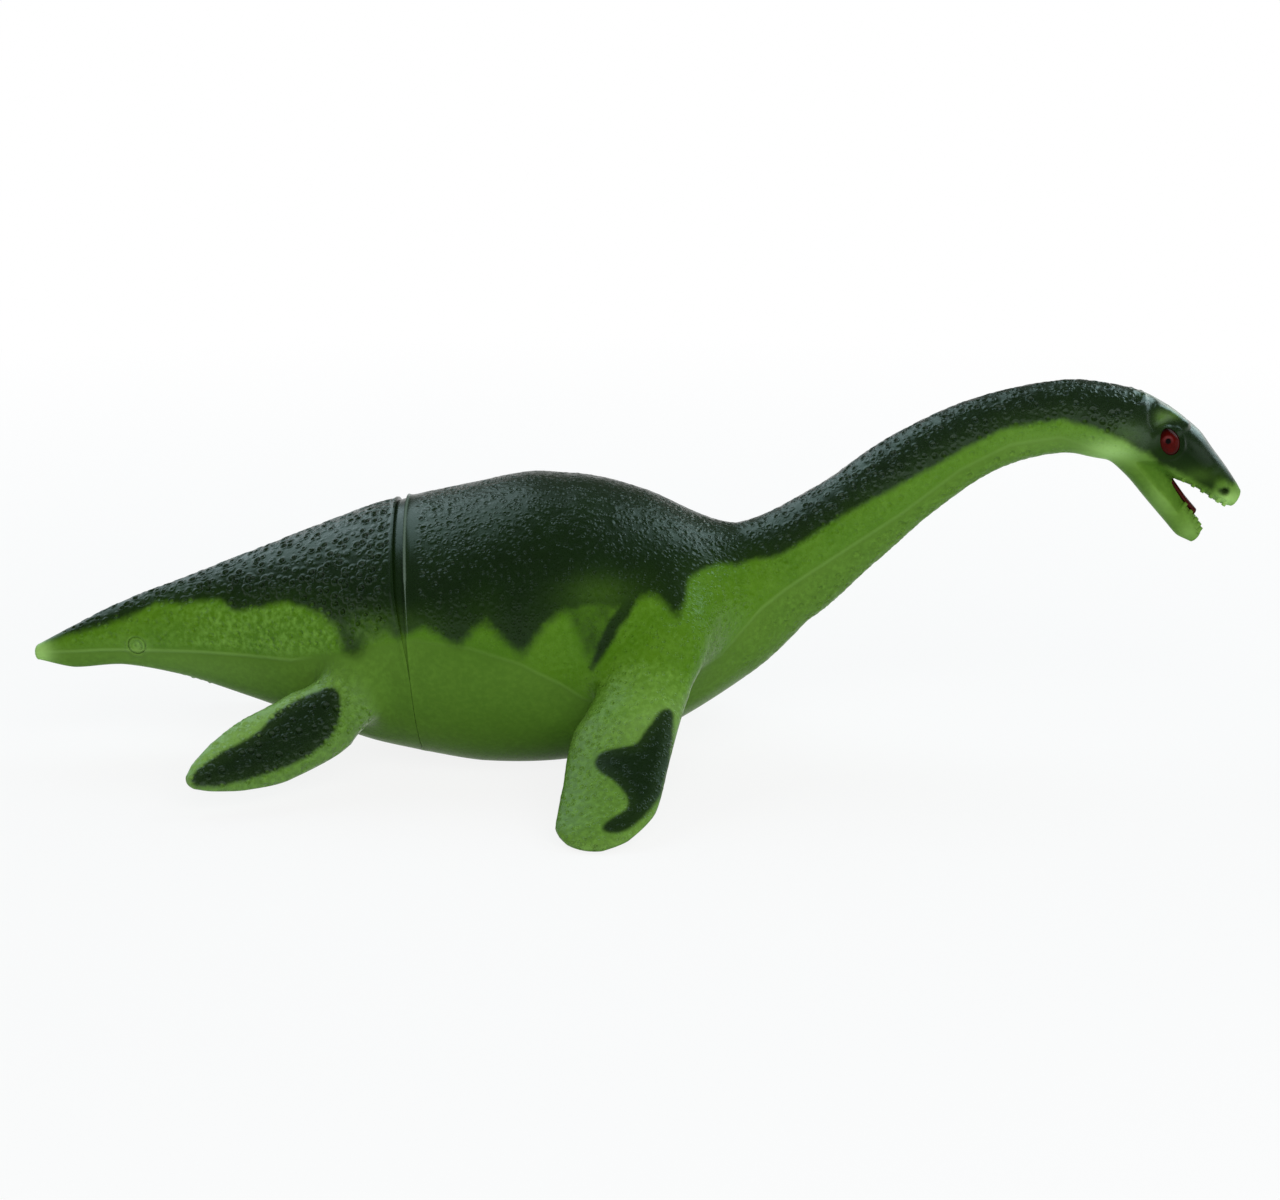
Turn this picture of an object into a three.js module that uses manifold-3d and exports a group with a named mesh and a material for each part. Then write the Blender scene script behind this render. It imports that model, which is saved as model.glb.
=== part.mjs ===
// Toy sea monster: a long-necked swimming reptile moulded in soft vinyl.
// Two hollow castings plug together at a seam behind the middle of the body and can turn there.
// Millimetres. X runs to the head, Y to the figure's left, Z up; the origin is under the belly.
import * as THREE from 'three';
import { mergeVertices } from 'three/addons/utils/BufferGeometryUtils.js';
import Module from 'manifold-3d';

// Reach of each limb
const TAIL_LENGTH = 121.8;   // seam to tip
const NECK_REACH = 113.5;    // end of the chest to the back of the head
const FRONT_REACH = 97;      // middle plane to the tip of a front flipper
const REAR_REACH = 64.5;     // middle plane to the tip of a rear flipper

// Skin, fits and filling
const WALL = 2.6;            // thickness of the vinyl skin
const FIT = 0.3;             // play between pieces that touch or turn
const FILL_GAP = 0.5;        // between the fibre filling and the skin

// Seam: a round section, leaning with its top towards the tail
const SEAM_X = -30.2;
const SEAM_Z = 43.5;
const SEAM_LEAN = 3.8;       // degrees
const SEAM_RADIUS = 41;
const SEAM_OPEN = 4;         // gap between the two lips along the back

// Plug of the front casting, from the lip towards the tail
const LAND_DEPTH = 1;        // land below the skin
const LAND_LENGTH = 6.5;
const LAND_TAPER = 3;        // fall of the land's radius over its length
const ROOT_LENGTH = 2;       // part of the plug that is one with the front skin
const NECK_DEPTH = 5.5;      // step from the end of the land down to the neck
const FLANGE = 2.4;          // thickness of the socket's flange
const BEAD_HEIGHT = 2;
const BEAD_LENGTH = 3.3;
const BEAD_CHAMFER = 1.2;

// Hind sections, upright: share of the tail's length from the seam, back z, belly z, half width
const HIND_SECTIONS = [
  [1, 36.6, 31.4, 2.3],
  [0.91, 42.5, 29, 4.8],
  [0.778, 50.4, 30, 7.4],
  [0.612, 58.3, 26.4, 12.2],
  [0.442, 66.5, 19.6, 18.6],
  [0.273, 74.5, 12.5, 27.5],
  [0.107, 82, 5.9, 37],
];
// Chest sections: back x, back z, belly x, belly z, half width
const FORE_SECTIONS = [
  [-15.5, 88, -9, -0.4, 44.5],
  [4, 92, 12, -0.4, 45.8],
  [20.5, 91.7, 36, 4, 43.6],
  [31, 90, 58, 15.5, 37],
  [43.5, 86.3, 79.5, 30, 27.5],
];
// Neck sections: share of the neck's reach, lean of the back towards the tail, back z, belly z, half width
const NECK_SECTIONS = [
  [0.19, 12, 76, 45.2, 16.6],
  [0.394, 9.2, 88, 63.4, 13.4],
  [0.582, 7.5, 104, 81, 11.7],
  [0.786, 4.2, 116.4, 94.4, 10.4],
  [1, 0, 122.2, 99.2, 10.1],
];
// Head and jaw sections, x from the end of the neck: back x, back z, belly x, belly z, half width
const HEAD_SECTIONS = [
  [13.5, 121.1, 10, 97.4, 10.7],
  [25.5, 118, 18, 96, 11],
  [35.7, 111.6, 25.6, 93.4, 10.7],
  [42.2, 106.5, 33.4, 91.2, 8.8],
  [46.8, 100.5, 40.3, 88.2, 7],
  [51.5, 94.4, 46.1, 84.9, 5.4],
  [54.8, 89.6, 50.5, 82.6, 4.1],
  [56, 87.5, 53, 82, 2.5],
];
const JAW_SECTIONS = [
  [23.6, 104.8, 13.6, 97, 6.9],
  [29.2, 97.5, 20.6, 90.8, 7.6],
  [34.6, 90.2, 26.9, 83.6, 6.3],
  [38.7, 83.4, 32.6, 77.1, 5.1],
  [42.9, 78, 36.5, 72.7, 3.8],
  [44.1, 74.3, 40.9, 70.5, 2.2],
];
// Hollow of the mouth, x from the end of the neck: roof x, roof z, floor x, floor z, half width
const MOUTH_SECTIONS = [
  [35.4, 92.2, 33.2, 88.9, 2.6],
  [41.5, 91.2, 37.6, 83.2, 4],
  [46.5, 88.6, 41.2, 79, 3],
  [49, 86.4, 44.3, 77.8, 1.4],
];
const TONGUE_THICK = 2.2;
const TONGUE_SHARE = 0.62;           // of the mouth's width

// Flippers, root to tip: x, share of the reach, z, half chord, half thickness
const FRONT_FLIPPER = [
  [52, 0.134, 62, 16, 11],
  [48.5, 0.34, 48, 17.5, 11.5],
  [41, 0.485, 34, 15, 7.5],
  [35, 0.68, 20.5, 15.5, 4.8],
  [31, 0.856, 9.3, 15, 3.4],
  [27.5, 0.959, 3.6, 10.5, 2.4],
  [25.5, 1, 1.2, 5.5, 1.6],
];
const FRONT_CHORD = [1, 0, 0.1];     // direction from the trailing to the leading edge
const REAR_FLIPPER = [
  [-38, 0.341, 34, 13, 12],
  [-48, 0.481, 28.5, 11, 9],
  [-60, 0.612, 22.3, 11.2, 6],
  [-74, 0.767, 17, 11, 4],
  [-84.5, 0.891, 13.5, 8.5, 2.8],
  [-91.5, 0.969, 11.2, 5, 2],
  [-94.5, 1, 10.4, 2.4, 1.3],
];
const REAR_CHORD = [0.6, -0.41, -0.69];

// Thigh over the root of a rear flipper: place counts hind sections, shares as for the face
const THIGH_PLACE = 5.9;
const THIGH_UP = -0.2;
const THIGH_SIDE = 0.88;
const THIGH_SIZE = [11, 7, 15];
const THIGH_SLOPE = 30;              // degrees, its top towards the head

// Face: places count head sections, shares are of the half height and half width there
const EYE_PLACE = 1.95;
const EYE_UP = 0.15;
const EYE_SIDE = 0.8;
const EYE_SIZE = [3.7, 3.1, 4.1];    // half axes of the eye bead
const BROW_PLACE = 1.7;
const BROW_UP = 0.66;
const BROW_SIDE = 0.74;
const BROW_SIZE = [6, 2.2, 2];
const BROW_SLOPE = 33;               // degrees, down towards the snout
const TOOTH_RADIUS = 0.8;
const TOOTH_HEIGHT = 1;
const UPPER_TEETH = 6;               // on each side
const LOWER_TEETH = 5;
const UPPER_ROW = [3.4, 6];          // first and last tooth, counted in head sections
const LOWER_ROW = [3, 4.8];          // counted in jaw sections
const LIP_SIDE = 0.62;
const LIP_UP = 0.74;

// Vent in the right side of the tail, counted in hind sections
const VENT_PLACE = 2.3;
const VENT_UP = -0.23;
const VENT_RADIUS = 2.8;
const SOLID_TIP = 2;                 // sections of the tail's tip that are solid

// Fineness of the round forms
const RINGS = 2;                     // rings between two sections
const SIDES = 28;
const INNER_SIDES = 20;
const LIMB_SIDES = 16;
const TURN_STEPS = 40;

const wasm = await Module();
wasm.setup();

const vec = (x, y, z) => new THREE.Vector3(x, y, z);

function toSolid(geometry, matrix = new THREE.Matrix4()) {
  const bare = geometry.clone().applyMatrix4(matrix);
  bare.deleteAttribute('normal');
  bare.deleteAttribute('uv');
  const merged = mergeVertices(bare);
  return new wasm.Manifold(new wasm.Mesh({
    numProp: 3,
    vertProperties: new Float32Array(merged.attributes.position.array),
    triVerts: new Uint32Array(merged.index.array),
  }));
}

// A station is a middle with two half axes: side (across) and up (back or thickness)
const bodyStation = ([backX, backZ, bellyX, bellyZ, half], inset = 0) => {
  const up = vec((backX - bellyX) / 2, 0, (backZ - bellyZ) / 2);
  return {
    middle: vec((backX + bellyX) / 2, 0, (backZ + bellyZ) / 2),
    side: vec(0, half - inset, 0),
    up: up.setLength(up.length() - inset),
  };
};

// Smooth run through stations: gives the middle and half axes at any place in the list
function smoothRun(stations) {
  const curves = ['middle', 'side', 'up'].map(
    (key) => new THREE.CatmullRomCurve3(stations.map((station) => station[key])));
  return (place) => curves.map((curve) => curve.getPoint(place / (stations.length - 1)));
}

// A run of stations swept smoothly from one place in the list to another
function sweep(stations, sides, from = 0, to = stations.length - 1, rings = RINGS) {
  const run = smoothRun(stations);
  const count = Math.max(2, Math.round((to - from) * rings));
  const points = [];
  for (let ring = 0; ring <= count; ring += 1) {
    const [m, s, u] = run(from + (to - from) * ring / count);
    for (let step = 0; step < sides; step += 1) {
      const angle = 2 * Math.PI * step / sides;
      points.push(m.clone().addScaledVector(s, Math.cos(angle)).addScaledVector(u, Math.sin(angle)));
    }
  }
  const [startMiddle, startSide, startUp] = run(from);
  const [endMiddle] = run(to);
  const first = points.push(startMiddle, endMiddle) - 2;
  const outward = startSide.cross(startUp).dot(endMiddle.clone().sub(startMiddle)) > 0;
  const index = [];
  const face = (a, b, c) => index.push(...(outward ? [a, b, c] : [a, c, b]));
  for (let step = 0; step < sides; step += 1) {
    const next = (step + 1) % sides;
    const last = count * sides;
    for (let row = 0; row < last; row += sides) {
      face(row + step, row + next, row + sides + step);
      face(row + next, row + sides + next, row + sides + step);
    }
    face(first, next, step);
    face(first + 1, last + step, last + next);
  }
  const geometry = new THREE.BufferGeometry().setFromPoints(points);
  return geometry.setIndex(index);
}

// Seam frame: local x to the back, local y along the turning axis to the head, local z to the left
const lean = THREE.MathUtils.degToRad(SEAM_LEAN);
const seamUp = vec(-Math.sin(lean), 0, Math.cos(lean));
const seamAxis = vec(Math.cos(lean), 0, Math.sin(lean));
const seamFrame = new THREE.Matrix4().makeBasis(seamUp, seamAxis, vec(0, 1, 0))
  .setPosition(SEAM_X, 0, SEAM_Z);
const seamSection = [
  SEAM_X + SEAM_RADIUS * seamUp.x, SEAM_Z + SEAM_RADIUS * seamUp.z,
  SEAM_X - SEAM_RADIUS * seamUp.x, SEAM_Z - SEAM_RADIUS * seamUp.z, SEAM_RADIUS,
];

// Sections of the limbs, set out along their reach
const [lastBackX, , lastBellyX] = FORE_SECTIONS.at(-1);
const chestEnd = (lastBackX + lastBellyX) / 2;
const neckEnd = chestEnd + NECK_REACH;
const hindSections = HIND_SECTIONS.map(([share, backZ, bellyZ, half]) => {
  const x = SEAM_X - share * TAIL_LENGTH;
  return [x, backZ, x, bellyZ, half];
});
const neckSections = NECK_SECTIONS.map(([share, back, backZ, bellyZ, half]) => {
  const x = chestEnd + share * NECK_REACH;
  return [x - back, backZ, x + back, bellyZ, half];
});
const fromNeckEnd = (sections) => sections.map(
  ([backX, backZ, bellyX, bellyZ, half]) => [neckEnd + backX, backZ, neckEnd + bellyX, bellyZ, half]);
const headSections = fromNeckEnd(HEAD_SECTIONS);
const jawSections = fromNeckEnd(JAW_SECTIONS);
const mouthSections = fromNeckEnd(MOUTH_SECTIONS);
const bodySections = [...hindSections, seamSection, ...FORE_SECTIONS, ...neckSections, ...headSections];
const seamPlace = HIND_SECTIONS.length;
const neckPlace = seamPlace + 1 + FORE_SECTIONS.length;
const headPlace = neckPlace + NECK_SECTIONS.length;
const wide = bodySections.at(-1)[0] - bodySections[0][0];

const bodyForm = (inset, sides, from, to) => toSolid(
  sweep(bodySections.map((section) => bodyStation(section, inset)), sides, from, to));
const form = (sections, sides, inset = 0) => toSolid(
  sweep(sections.map((section) => bodyStation(section, inset)), sides));

// Half space in the seam frame, on the tail side of a plane that may tip about the Y axis
function tailSide(place, tip = 0) {
  const block = new THREE.BoxGeometry(wide, wide, wide);
  const matrix = seamFrame.clone()
    .multiply(new THREE.Matrix4().makeTranslation(0, place, 0))
    .multiply(new THREE.Matrix4().makeRotationZ(tip))
    .multiply(new THREE.Matrix4().makeTranslation(0, -wide / 2, 0));
  return toSolid(block, matrix);
}
const turned = (profile) => toSolid(
  new THREE.LatheGeometry(profile.map(([r, s]) => new THREE.Vector2(r, s)), TURN_STEPS), seamFrame);

// Plug and socket share these steps along the axis, counted from the front lip
const landRadius = SEAM_RADIUS - LAND_DEPTH;
const landEnd = landRadius - LAND_TAPER;
const neckRadius = landEnd - NECK_DEPTH;
const beadRadius = neckRadius + BEAD_HEIGHT;
const boreRadius = neckRadius - WALL;
const flangeFront = -LAND_LENGTH - FIT;
const flangeBack = flangeFront - FLANGE;
const beadFront = flangeBack - FIT;
const plugEnd = beadFront - BEAD_LENGTH;

const plug = turned([
  [boreRadius, plugEnd],
  [beadRadius - BEAD_CHAMFER, plugEnd],
  [beadRadius, plugEnd + BEAD_CHAMFER],
  [beadRadius, beadFront],
  [neckRadius, beadFront],
  [neckRadius, -LAND_LENGTH],
  [landEnd, -LAND_LENGTH],
  [landRadius, 0],
  [landRadius, ROOT_LENGTH],
  [landRadius - WALL, ROOT_LENGTH],
  [landRadius - WALL, 0],
  [landEnd - WALL, WALL - LAND_LENGTH],
  [boreRadius, WALL - LAND_LENGTH],
  [boreRadius, plugEnd],
]);
const landSlope = LAND_TAPER / LAND_LENGTH;
const socket = turned([
  [0, plugEnd - FIT],
  [beadRadius + FIT, plugEnd - FIT],
  [beadRadius + FIT, flangeBack],
  [neckRadius + FIT, flangeBack],
  [neckRadius + FIT, flangeFront],
  [landRadius + FIT + landSlope * flangeFront, flangeFront],
  [landRadius + FIT, 0],
  [landRadius + FIT, SEAM_RADIUS],
  [0, SEAM_RADIUS],
]);

// Flippers, built for the right side and mirrored for the left
function flipper(stations, reach, chord, side) {
  const middles = stations.map(([x, share, z]) => vec(x, -share * reach, z));
  const axis = middles.at(-1).clone().sub(middles[0]).normalize();
  const across = vec(...chord);
  across.addScaledVector(axis, -across.dot(axis)).normalize();
  const thick = axis.clone().cross(across);
  const mirror = vec(1, -side, 1);
  return toSolid(sweep(stations.map(([, , , halfChord, halfThick], index) => ({
    middle: middles[index].multiply(mirror),
    side: across.clone().multiplyScalar(halfChord).multiply(mirror),
    up: thick.clone().multiplyScalar(halfThick).multiply(mirror),
  })), LIMB_SIDES));
}
const RIGHT = 1;
const LEFT = -1;
const bothSides = (make) => make(RIGHT).add(make(LEFT));

// Points of the skin, found by place along the body and shares of the half axes there
const bodyRun = smoothRun(bodySections.map((section) => bodyStation(section)));
function onSkin(place, sideShare, upShare) {
  const [m, s, u] = bodyRun(place);
  return m.addScaledVector(s, sideShare).addScaledVector(u, upShare);
}
function ellipsoid(halfAxes, play, middle, slope = 0) {
  const turn = new THREE.Quaternion().setFromAxisAngle(vec(0, 1, 0), THREE.MathUtils.degToRad(slope));
  const size = vec(...halfAxes).addScalar(play);
  return toSolid(new THREE.SphereGeometry(1, LIMB_SIDES, LIMB_SIDES / 2),
    new THREE.Matrix4().compose(middle, turn, size));
}
const eye = (side, play = 0) => ellipsoid(
  EYE_SIZE, play, onSkin(headPlace + EYE_PLACE, -side * EYE_SIDE, EYE_UP));
const brow = (side) => ellipsoid(
  BROW_SIZE, 0, onSkin(headPlace + BROW_PLACE, -side * BROW_SIDE, BROW_UP), BROW_SLOPE);

const thigh = (side) => ellipsoid(
  THIGH_SIZE, 0, onSkin(THIGH_PLACE, -side * THIGH_SIDE, THIGH_UP), THIGH_SLOPE);

// Rows of blunt teeth along the lip of a jaw
function teeth(sections, [from, to], count, facing, side) {
  const run = smoothRun(sections.map((section) => bodyStation(section)));
  const cones = Array.from({ length: count }, (_, tooth) => {
    const [m, s, u] = run(from + (to - from) * tooth / (count - 1));
    const foot = m.addScaledVector(s, -side * LIP_SIDE).addScaledVector(u, facing * LIP_UP);
    const point = u.normalize().multiplyScalar(facing);
    const turn = new THREE.Quaternion().setFromUnitVectors(vec(0, 1, 0), point);
    return toSolid(new THREE.ConeGeometry(TOOTH_RADIUS, TOOTH_HEIGHT * 2, LIMB_SIDES / 2),
      new THREE.Matrix4().compose(foot, turn, vec(1, 1, 1)));
  });
  return cones.reduce((row, cone) => row.add(cone));
}

// Tail vent: a short peg through the skin, flush with it outside
function ventPeg(radius) {
  const middle = onSkin(VENT_PLACE, 0, VENT_UP);
  const matrix = new THREE.Matrix4().makeTranslation(middle.x, -SEAM_RADIUS / 2, middle.z);
  return toSolid(new THREE.CylinderGeometry(radius, radius, SEAM_RADIUS, SIDES), matrix);
}

// Castings
const skin = bodyForm(0, SIDES);
const hollow = bodyForm(WALL, INNER_SIDES, SOLID_TIP, headPlace + 1);
const belowGround = toSolid(new THREE.BoxGeometry(2 * wide, wide, wide),
  new THREE.Matrix4().makeTranslation(0, 0, -wide / 2));
const headTeeth = (side) => teeth(headSections, UPPER_ROW, UPPER_TEETH, -1, side);
const jawTeeth = (side) => teeth(jawSections, LOWER_ROW, LOWER_TEETH, 1, side);

const frontCasting = skin.subtract(tailSide(0))
  .add(form(jawSections, INNER_SIDES))
  .add(bothSides(brow))
  .subtract(form(mouthSections, INNER_SIDES))
  .add(bothSides(headTeeth))
  .add(bothSides(jawTeeth))
  .add(bothSides((side) => flipper(FRONT_FLIPPER, FRONT_REACH, FRONT_CHORD, side)))
  .subtract(hollow)
  .add(plug)
  .subtract(bothSides((side) => eye(side, FIT)))
  .subtract(belowGround);

// The rear lip meets the front one up to the middle of the side and draws back above it
const lipTip = Math.atan((SEAM_OPEN - FIT) / SEAM_RADIUS);
const rearShell = skin.intersect(tailSide(-FIT)).intersect(tailSide(-FIT, -lipTip))
  .add(bothSides((side) => flipper(REAR_FLIPPER, REAR_REACH, REAR_CHORD, side)))
  .add(bothSides(thigh));
const rearCasting = rearShell
  .subtract(hollow.intersect(tailSide(flangeBack)))
  .subtract(socket)
  .subtract(ventPeg(VENT_RADIUS + FIT))
  .subtract(belowGround);
const ventPlug = ventPeg(VENT_RADIUS).intersect(skin).subtract(
  bodyForm(WALL + FIT, INNER_SIDES, SOLID_TIP, seamPlace));

// Fibre filling: a wad in each hollow, the chest wad reaching back through the plug
const fillInset = WALL + FILL_GAP;
const hindFilling = bodyForm(fillInset, INNER_SIDES, SOLID_TIP + 1, seamPlace)
  .intersect(tailSide(plugEnd - FILL_GAP));
const boreFill = turned([
  [0, plugEnd], [boreRadius - FILL_GAP, plugEnd],
  [boreRadius - FILL_GAP, ROOT_LENGTH + WALL], [0, ROOT_LENGTH + WALL],
]);
const chestFilling = bodyForm(fillInset, INNER_SIDES, seamPlace, neckPlace)
  .subtract(tailSide(ROOT_LENGTH + FILL_GAP)).add(boreFill);
const [neckFoot, neckNext] = neckSections.map((section) => bodyStation(section).middle);
const fillStep = FILL_GAP / neckFoot.distanceTo(neckNext);
const neckFilling = bodyForm(fillInset, INNER_SIDES, neckPlace + fillStep, headPlace);

// The tongue lies along the floor of the mouth
const tongue = toSolid(sweep(mouthSections.slice(0, -1).map((section) => {
  const { middle, side, up } = bodyStation(section);
  const rise = up.clone().normalize();
  const under = middle.sub(up).addScaledVector(rise, FIT);
  return {
    middle: under.addScaledVector(rise, TONGUE_THICK / 2),
    side: side.multiplyScalar(TONGUE_SHARE),
    up: rise.multiplyScalar(TONGUE_THICK / 2),
  };
}), LIMB_SIDES));

// Named pieces with their finishes
const VINYL = { color: 0x4f8f2f, roughness: 0.38, metalness: 0 };
const ENAMEL = { color: 0x8c1c1f, roughness: 0.2, metalness: 0 };
const MOUTH_PAINT = { color: 0x5c1713, roughness: 0.4, metalness: 0 };
const FIBRE = { color: 0xf0eee6, roughness: 1, metalness: 0 };

const group = new THREE.Group();
group.name = 'toy_sea_monster';
function addPiece(name, solid, finish) {
  const { vertProperties, triVerts } = solid.getMesh();
  const geometry = new THREE.BufferGeometry();
  geometry.setAttribute('position', new THREE.BufferAttribute(vertProperties, 3));
  geometry.setIndex(new THREE.BufferAttribute(triVerts, 1));
  geometry.computeVertexNormals();
  const mesh = new THREE.Mesh(geometry, new THREE.MeshStandardMaterial(finish));
  mesh.name = name;
  group.add(mesh);
}
addPiece('front_casting', frontCasting, VINYL);
addPiece('rear_casting', rearCasting, VINYL);
addPiece('right_eye', eye(RIGHT), ENAMEL);
addPiece('left_eye', eye(LEFT), ENAMEL);
addPiece('tongue', tongue, MOUTH_PAINT);
addPiece('tail_vent_plug', ventPlug, VINYL);
addPiece('neck_filling', neckFilling, FIBRE);
addPiece('chest_filling', chestFilling, FIBRE);
addPiece('hind_filling', hindFilling, FIBRE);

export default group;
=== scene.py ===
import math

import bmesh
import bpy
import numpy as np
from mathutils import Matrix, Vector
from mathutils.bvhtree import BVHTree


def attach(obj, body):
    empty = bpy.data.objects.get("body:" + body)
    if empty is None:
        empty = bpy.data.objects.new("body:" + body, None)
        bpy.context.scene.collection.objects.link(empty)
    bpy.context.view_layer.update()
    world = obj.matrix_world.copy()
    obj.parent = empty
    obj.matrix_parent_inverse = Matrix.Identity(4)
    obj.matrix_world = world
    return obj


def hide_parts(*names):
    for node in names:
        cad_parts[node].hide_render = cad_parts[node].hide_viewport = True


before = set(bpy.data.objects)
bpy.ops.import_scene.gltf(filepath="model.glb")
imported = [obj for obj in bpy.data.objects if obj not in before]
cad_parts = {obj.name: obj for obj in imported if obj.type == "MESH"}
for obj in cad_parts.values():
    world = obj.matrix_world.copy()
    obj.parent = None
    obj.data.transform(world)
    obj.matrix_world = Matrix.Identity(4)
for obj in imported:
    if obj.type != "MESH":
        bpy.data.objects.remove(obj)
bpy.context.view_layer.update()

# Front casting: head, neck, chest and front flippers, slush-moulded in soft PVC in one hollow skin.
# The mould leaves pits and a parting line, an airbrush darkens the back, and a plug with a bead
# behind the lip takes the hind casting.
MM = 0.001      # all sizes of the object are in mm
WALL = 2.6      # skin of both castings
FIT = 0.3       # play between pieces

# Sections of the body from the tail to the snout: back x, back z, belly x, belly z, half width
SEAM_X, SEAM_Z, SEAM_LEAN, SEAM_RADIUS = -30.2, 43.5, math.radians(3.8), 41.0
SEAM_UP = np.array([-math.sin(SEAM_LEAN), 0, math.cos(SEAM_LEAN)])
SEAM_AXIS = np.array([math.cos(SEAM_LEAN), 0, math.sin(SEAM_LEAN)])
SEAM_MIDDLE = np.array([SEAM_X, 0, SEAM_Z])
HIND_SECTIONS = [
    (-152, 36.6, -152, 31.4, 2.3),
    (-141, 42.5, -141, 29, 4.8),
    (-125, 50.4, -125, 30, 7.4),
    (-104.7, 58.3, -104.7, 26.4, 12.2),
    (-84, 66.5, -84, 19.6, 18.6),
    (-63.5, 74.5, -63.5, 12.5, 27.5),
    (-43.2, 82, -43.2, 5.9, 37),
]
SEAM_SECTION = (
    SEAM_X + SEAM_RADIUS * SEAM_UP[0], SEAM_Z + SEAM_RADIUS * SEAM_UP[2],
    SEAM_X - SEAM_RADIUS * SEAM_UP[0], SEAM_Z - SEAM_RADIUS * SEAM_UP[2], SEAM_RADIUS,
)
FORE_SECTIONS = [
    (-15.5, 88, -9, -0.4, 44.5),
    (4, 92, 12, -0.4, 45.8),
    (20.5, 91.7, 36, 4, 43.6),
    (31, 90, 58, 15.5, 37),
    (43.5, 86.3, 79.5, 30, 27.5),
    (71.1, 76, 95.1, 45.2, 16.6),
    (97, 88, 115.4, 63.4, 13.4),
    (120, 104, 135, 81, 11.7),
    (146.5, 116.4, 154.9, 94.4, 10.4),
    (175, 122.2, 175, 99.2, 10.1),
    (188.5, 121.1, 185, 97.4, 10.7),
    (200.5, 118, 193, 96, 11),
    (210.7, 111.6, 200.6, 93.4, 10.7),
    (217.2, 106.5, 208.4, 91.2, 8.8),
    (221.8, 100.5, 215.3, 88.2, 7),
    (226.5, 94.4, 221.1, 84.9, 5.4),
    (229.8, 89.6, 225.5, 82.6, 4.1),
    (231, 87.5, 228, 82, 2.5),
]
BODY_SECTIONS = HIND_SECTIONS + [SEAM_SECTION] + FORE_SECTIONS
SEAM_PLACE = len(HIND_SECTIONS)
HEAD_PLACE = SEAM_PLACE + 11
SNOUT_PLACE = len(BODY_SECTIONS) - 1
JAW_SECTIONS = [
    (198.6, 104.8, 188.6, 97, 6.9),
    (204.2, 97.5, 195.6, 90.8, 7.6),
    (209.6, 90.2, 201.9, 83.6, 6.3),
    (213.7, 83.4, 207.6, 77.1, 5.1),
    (217.9, 78, 211.5, 72.7, 3.8),
    (219.1, 74.3, 215.9, 70.5, 2.2),
]
MOUTH_SECTIONS = [
    (210.4, 92.2, 208.2, 88.9, 2.6),
    (216.5, 91.2, 212.6, 83.2, 4),
    (221.5, 88.6, 216.2, 79, 3),
    (224, 86.4, 219.3, 77.8, 1.4),
]
# Front flipper of the right side, root to tip: x, y, z, half chord, half thickness
FRONT_FLIPPER = [
    (52, -13, 62, 16, 11),
    (48.5, -33, 48, 17.5, 11.5),
    (41, -47, 34, 15, 7.5),
    (35, -66, 20.5, 15.5, 4.8),
    (31.5, -83, 9.3, 14.6, 3.4),
    (26.9, -93, 3.6, 11.1, 2.4),
    (25.7, -95.3, 2.3, 8.7, 2),
    (25, -97, 1.2, 5.8, 1.6),
]
FRONT_CHORD = (1, 0, 0.1)


def smooth_run(stations):
    """Centripetal spline through stations of a middle and two half axes."""
    points = np.array(stations, float)
    points = np.concatenate([[2 * points[0] - points[1]], points, [2 * points[-1] - points[-2]]])

    def at(places):
        places = np.clip(np.atleast_1d(np.asarray(places, float)), 0, len(stations) - 1)
        first = np.minimum(places.astype(int), len(stations) - 2)
        t = (places - first)[:, None, None]
        p0, p1, p2, p3 = (points[first + k] for k in range(4))
        gap = [np.maximum(np.linalg.norm(b - a, axis=2, keepdims=True), 1e-6) ** 0.5
               for a, b in ((p0, p1), (p1, p2), (p2, p3))]
        leave = ((p1 - p0) / gap[0] - (p2 - p0) / (gap[0] + gap[1]) + (p2 - p1) / gap[1]) * gap[1]
        reach = ((p2 - p1) / gap[1] - (p3 - p1) / (gap[1] + gap[2]) + (p3 - p2) / gap[2]) * gap[1]
        return (p1 + leave * t + (3 * (p2 - p1) - 2 * leave - reach) * t ** 2
                + (2 * (p1 - p2) + leave + reach) * t ** 3)

    return at


def body_stations(sections, inset=0.0):
    stations = []
    for back_x, back_z, belly_x, belly_z, half in sections:
        up = np.array([back_x - belly_x, 0, back_z - belly_z]) / 2
        up *= 1 - inset / np.linalg.norm(up)
        middle = ((back_x + belly_x) / 2, 0, (back_z + belly_z) / 2)
        stations.append((middle, (0, half - inset, 0), up))
    return stations


def flipper_stations(flipper, chord, free):
    """Stations of a flipper, and its root, its directions and how far out it leaves the body."""
    middles = np.array([row[:3] for row in flipper], float)
    axis = (middles[-1] - middles[0]) / np.linalg.norm(middles[-1] - middles[0])
    across = np.array(chord, float) - np.dot(chord, axis) * axis
    across /= np.linalg.norm(across)
    thick = np.cross(axis, across)
    stations = [(m, across * row[3], thick * row[4]) for m, row in zip(middles, flipper)]
    return stations, (middles[0], axis, across, thick, free)


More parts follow.
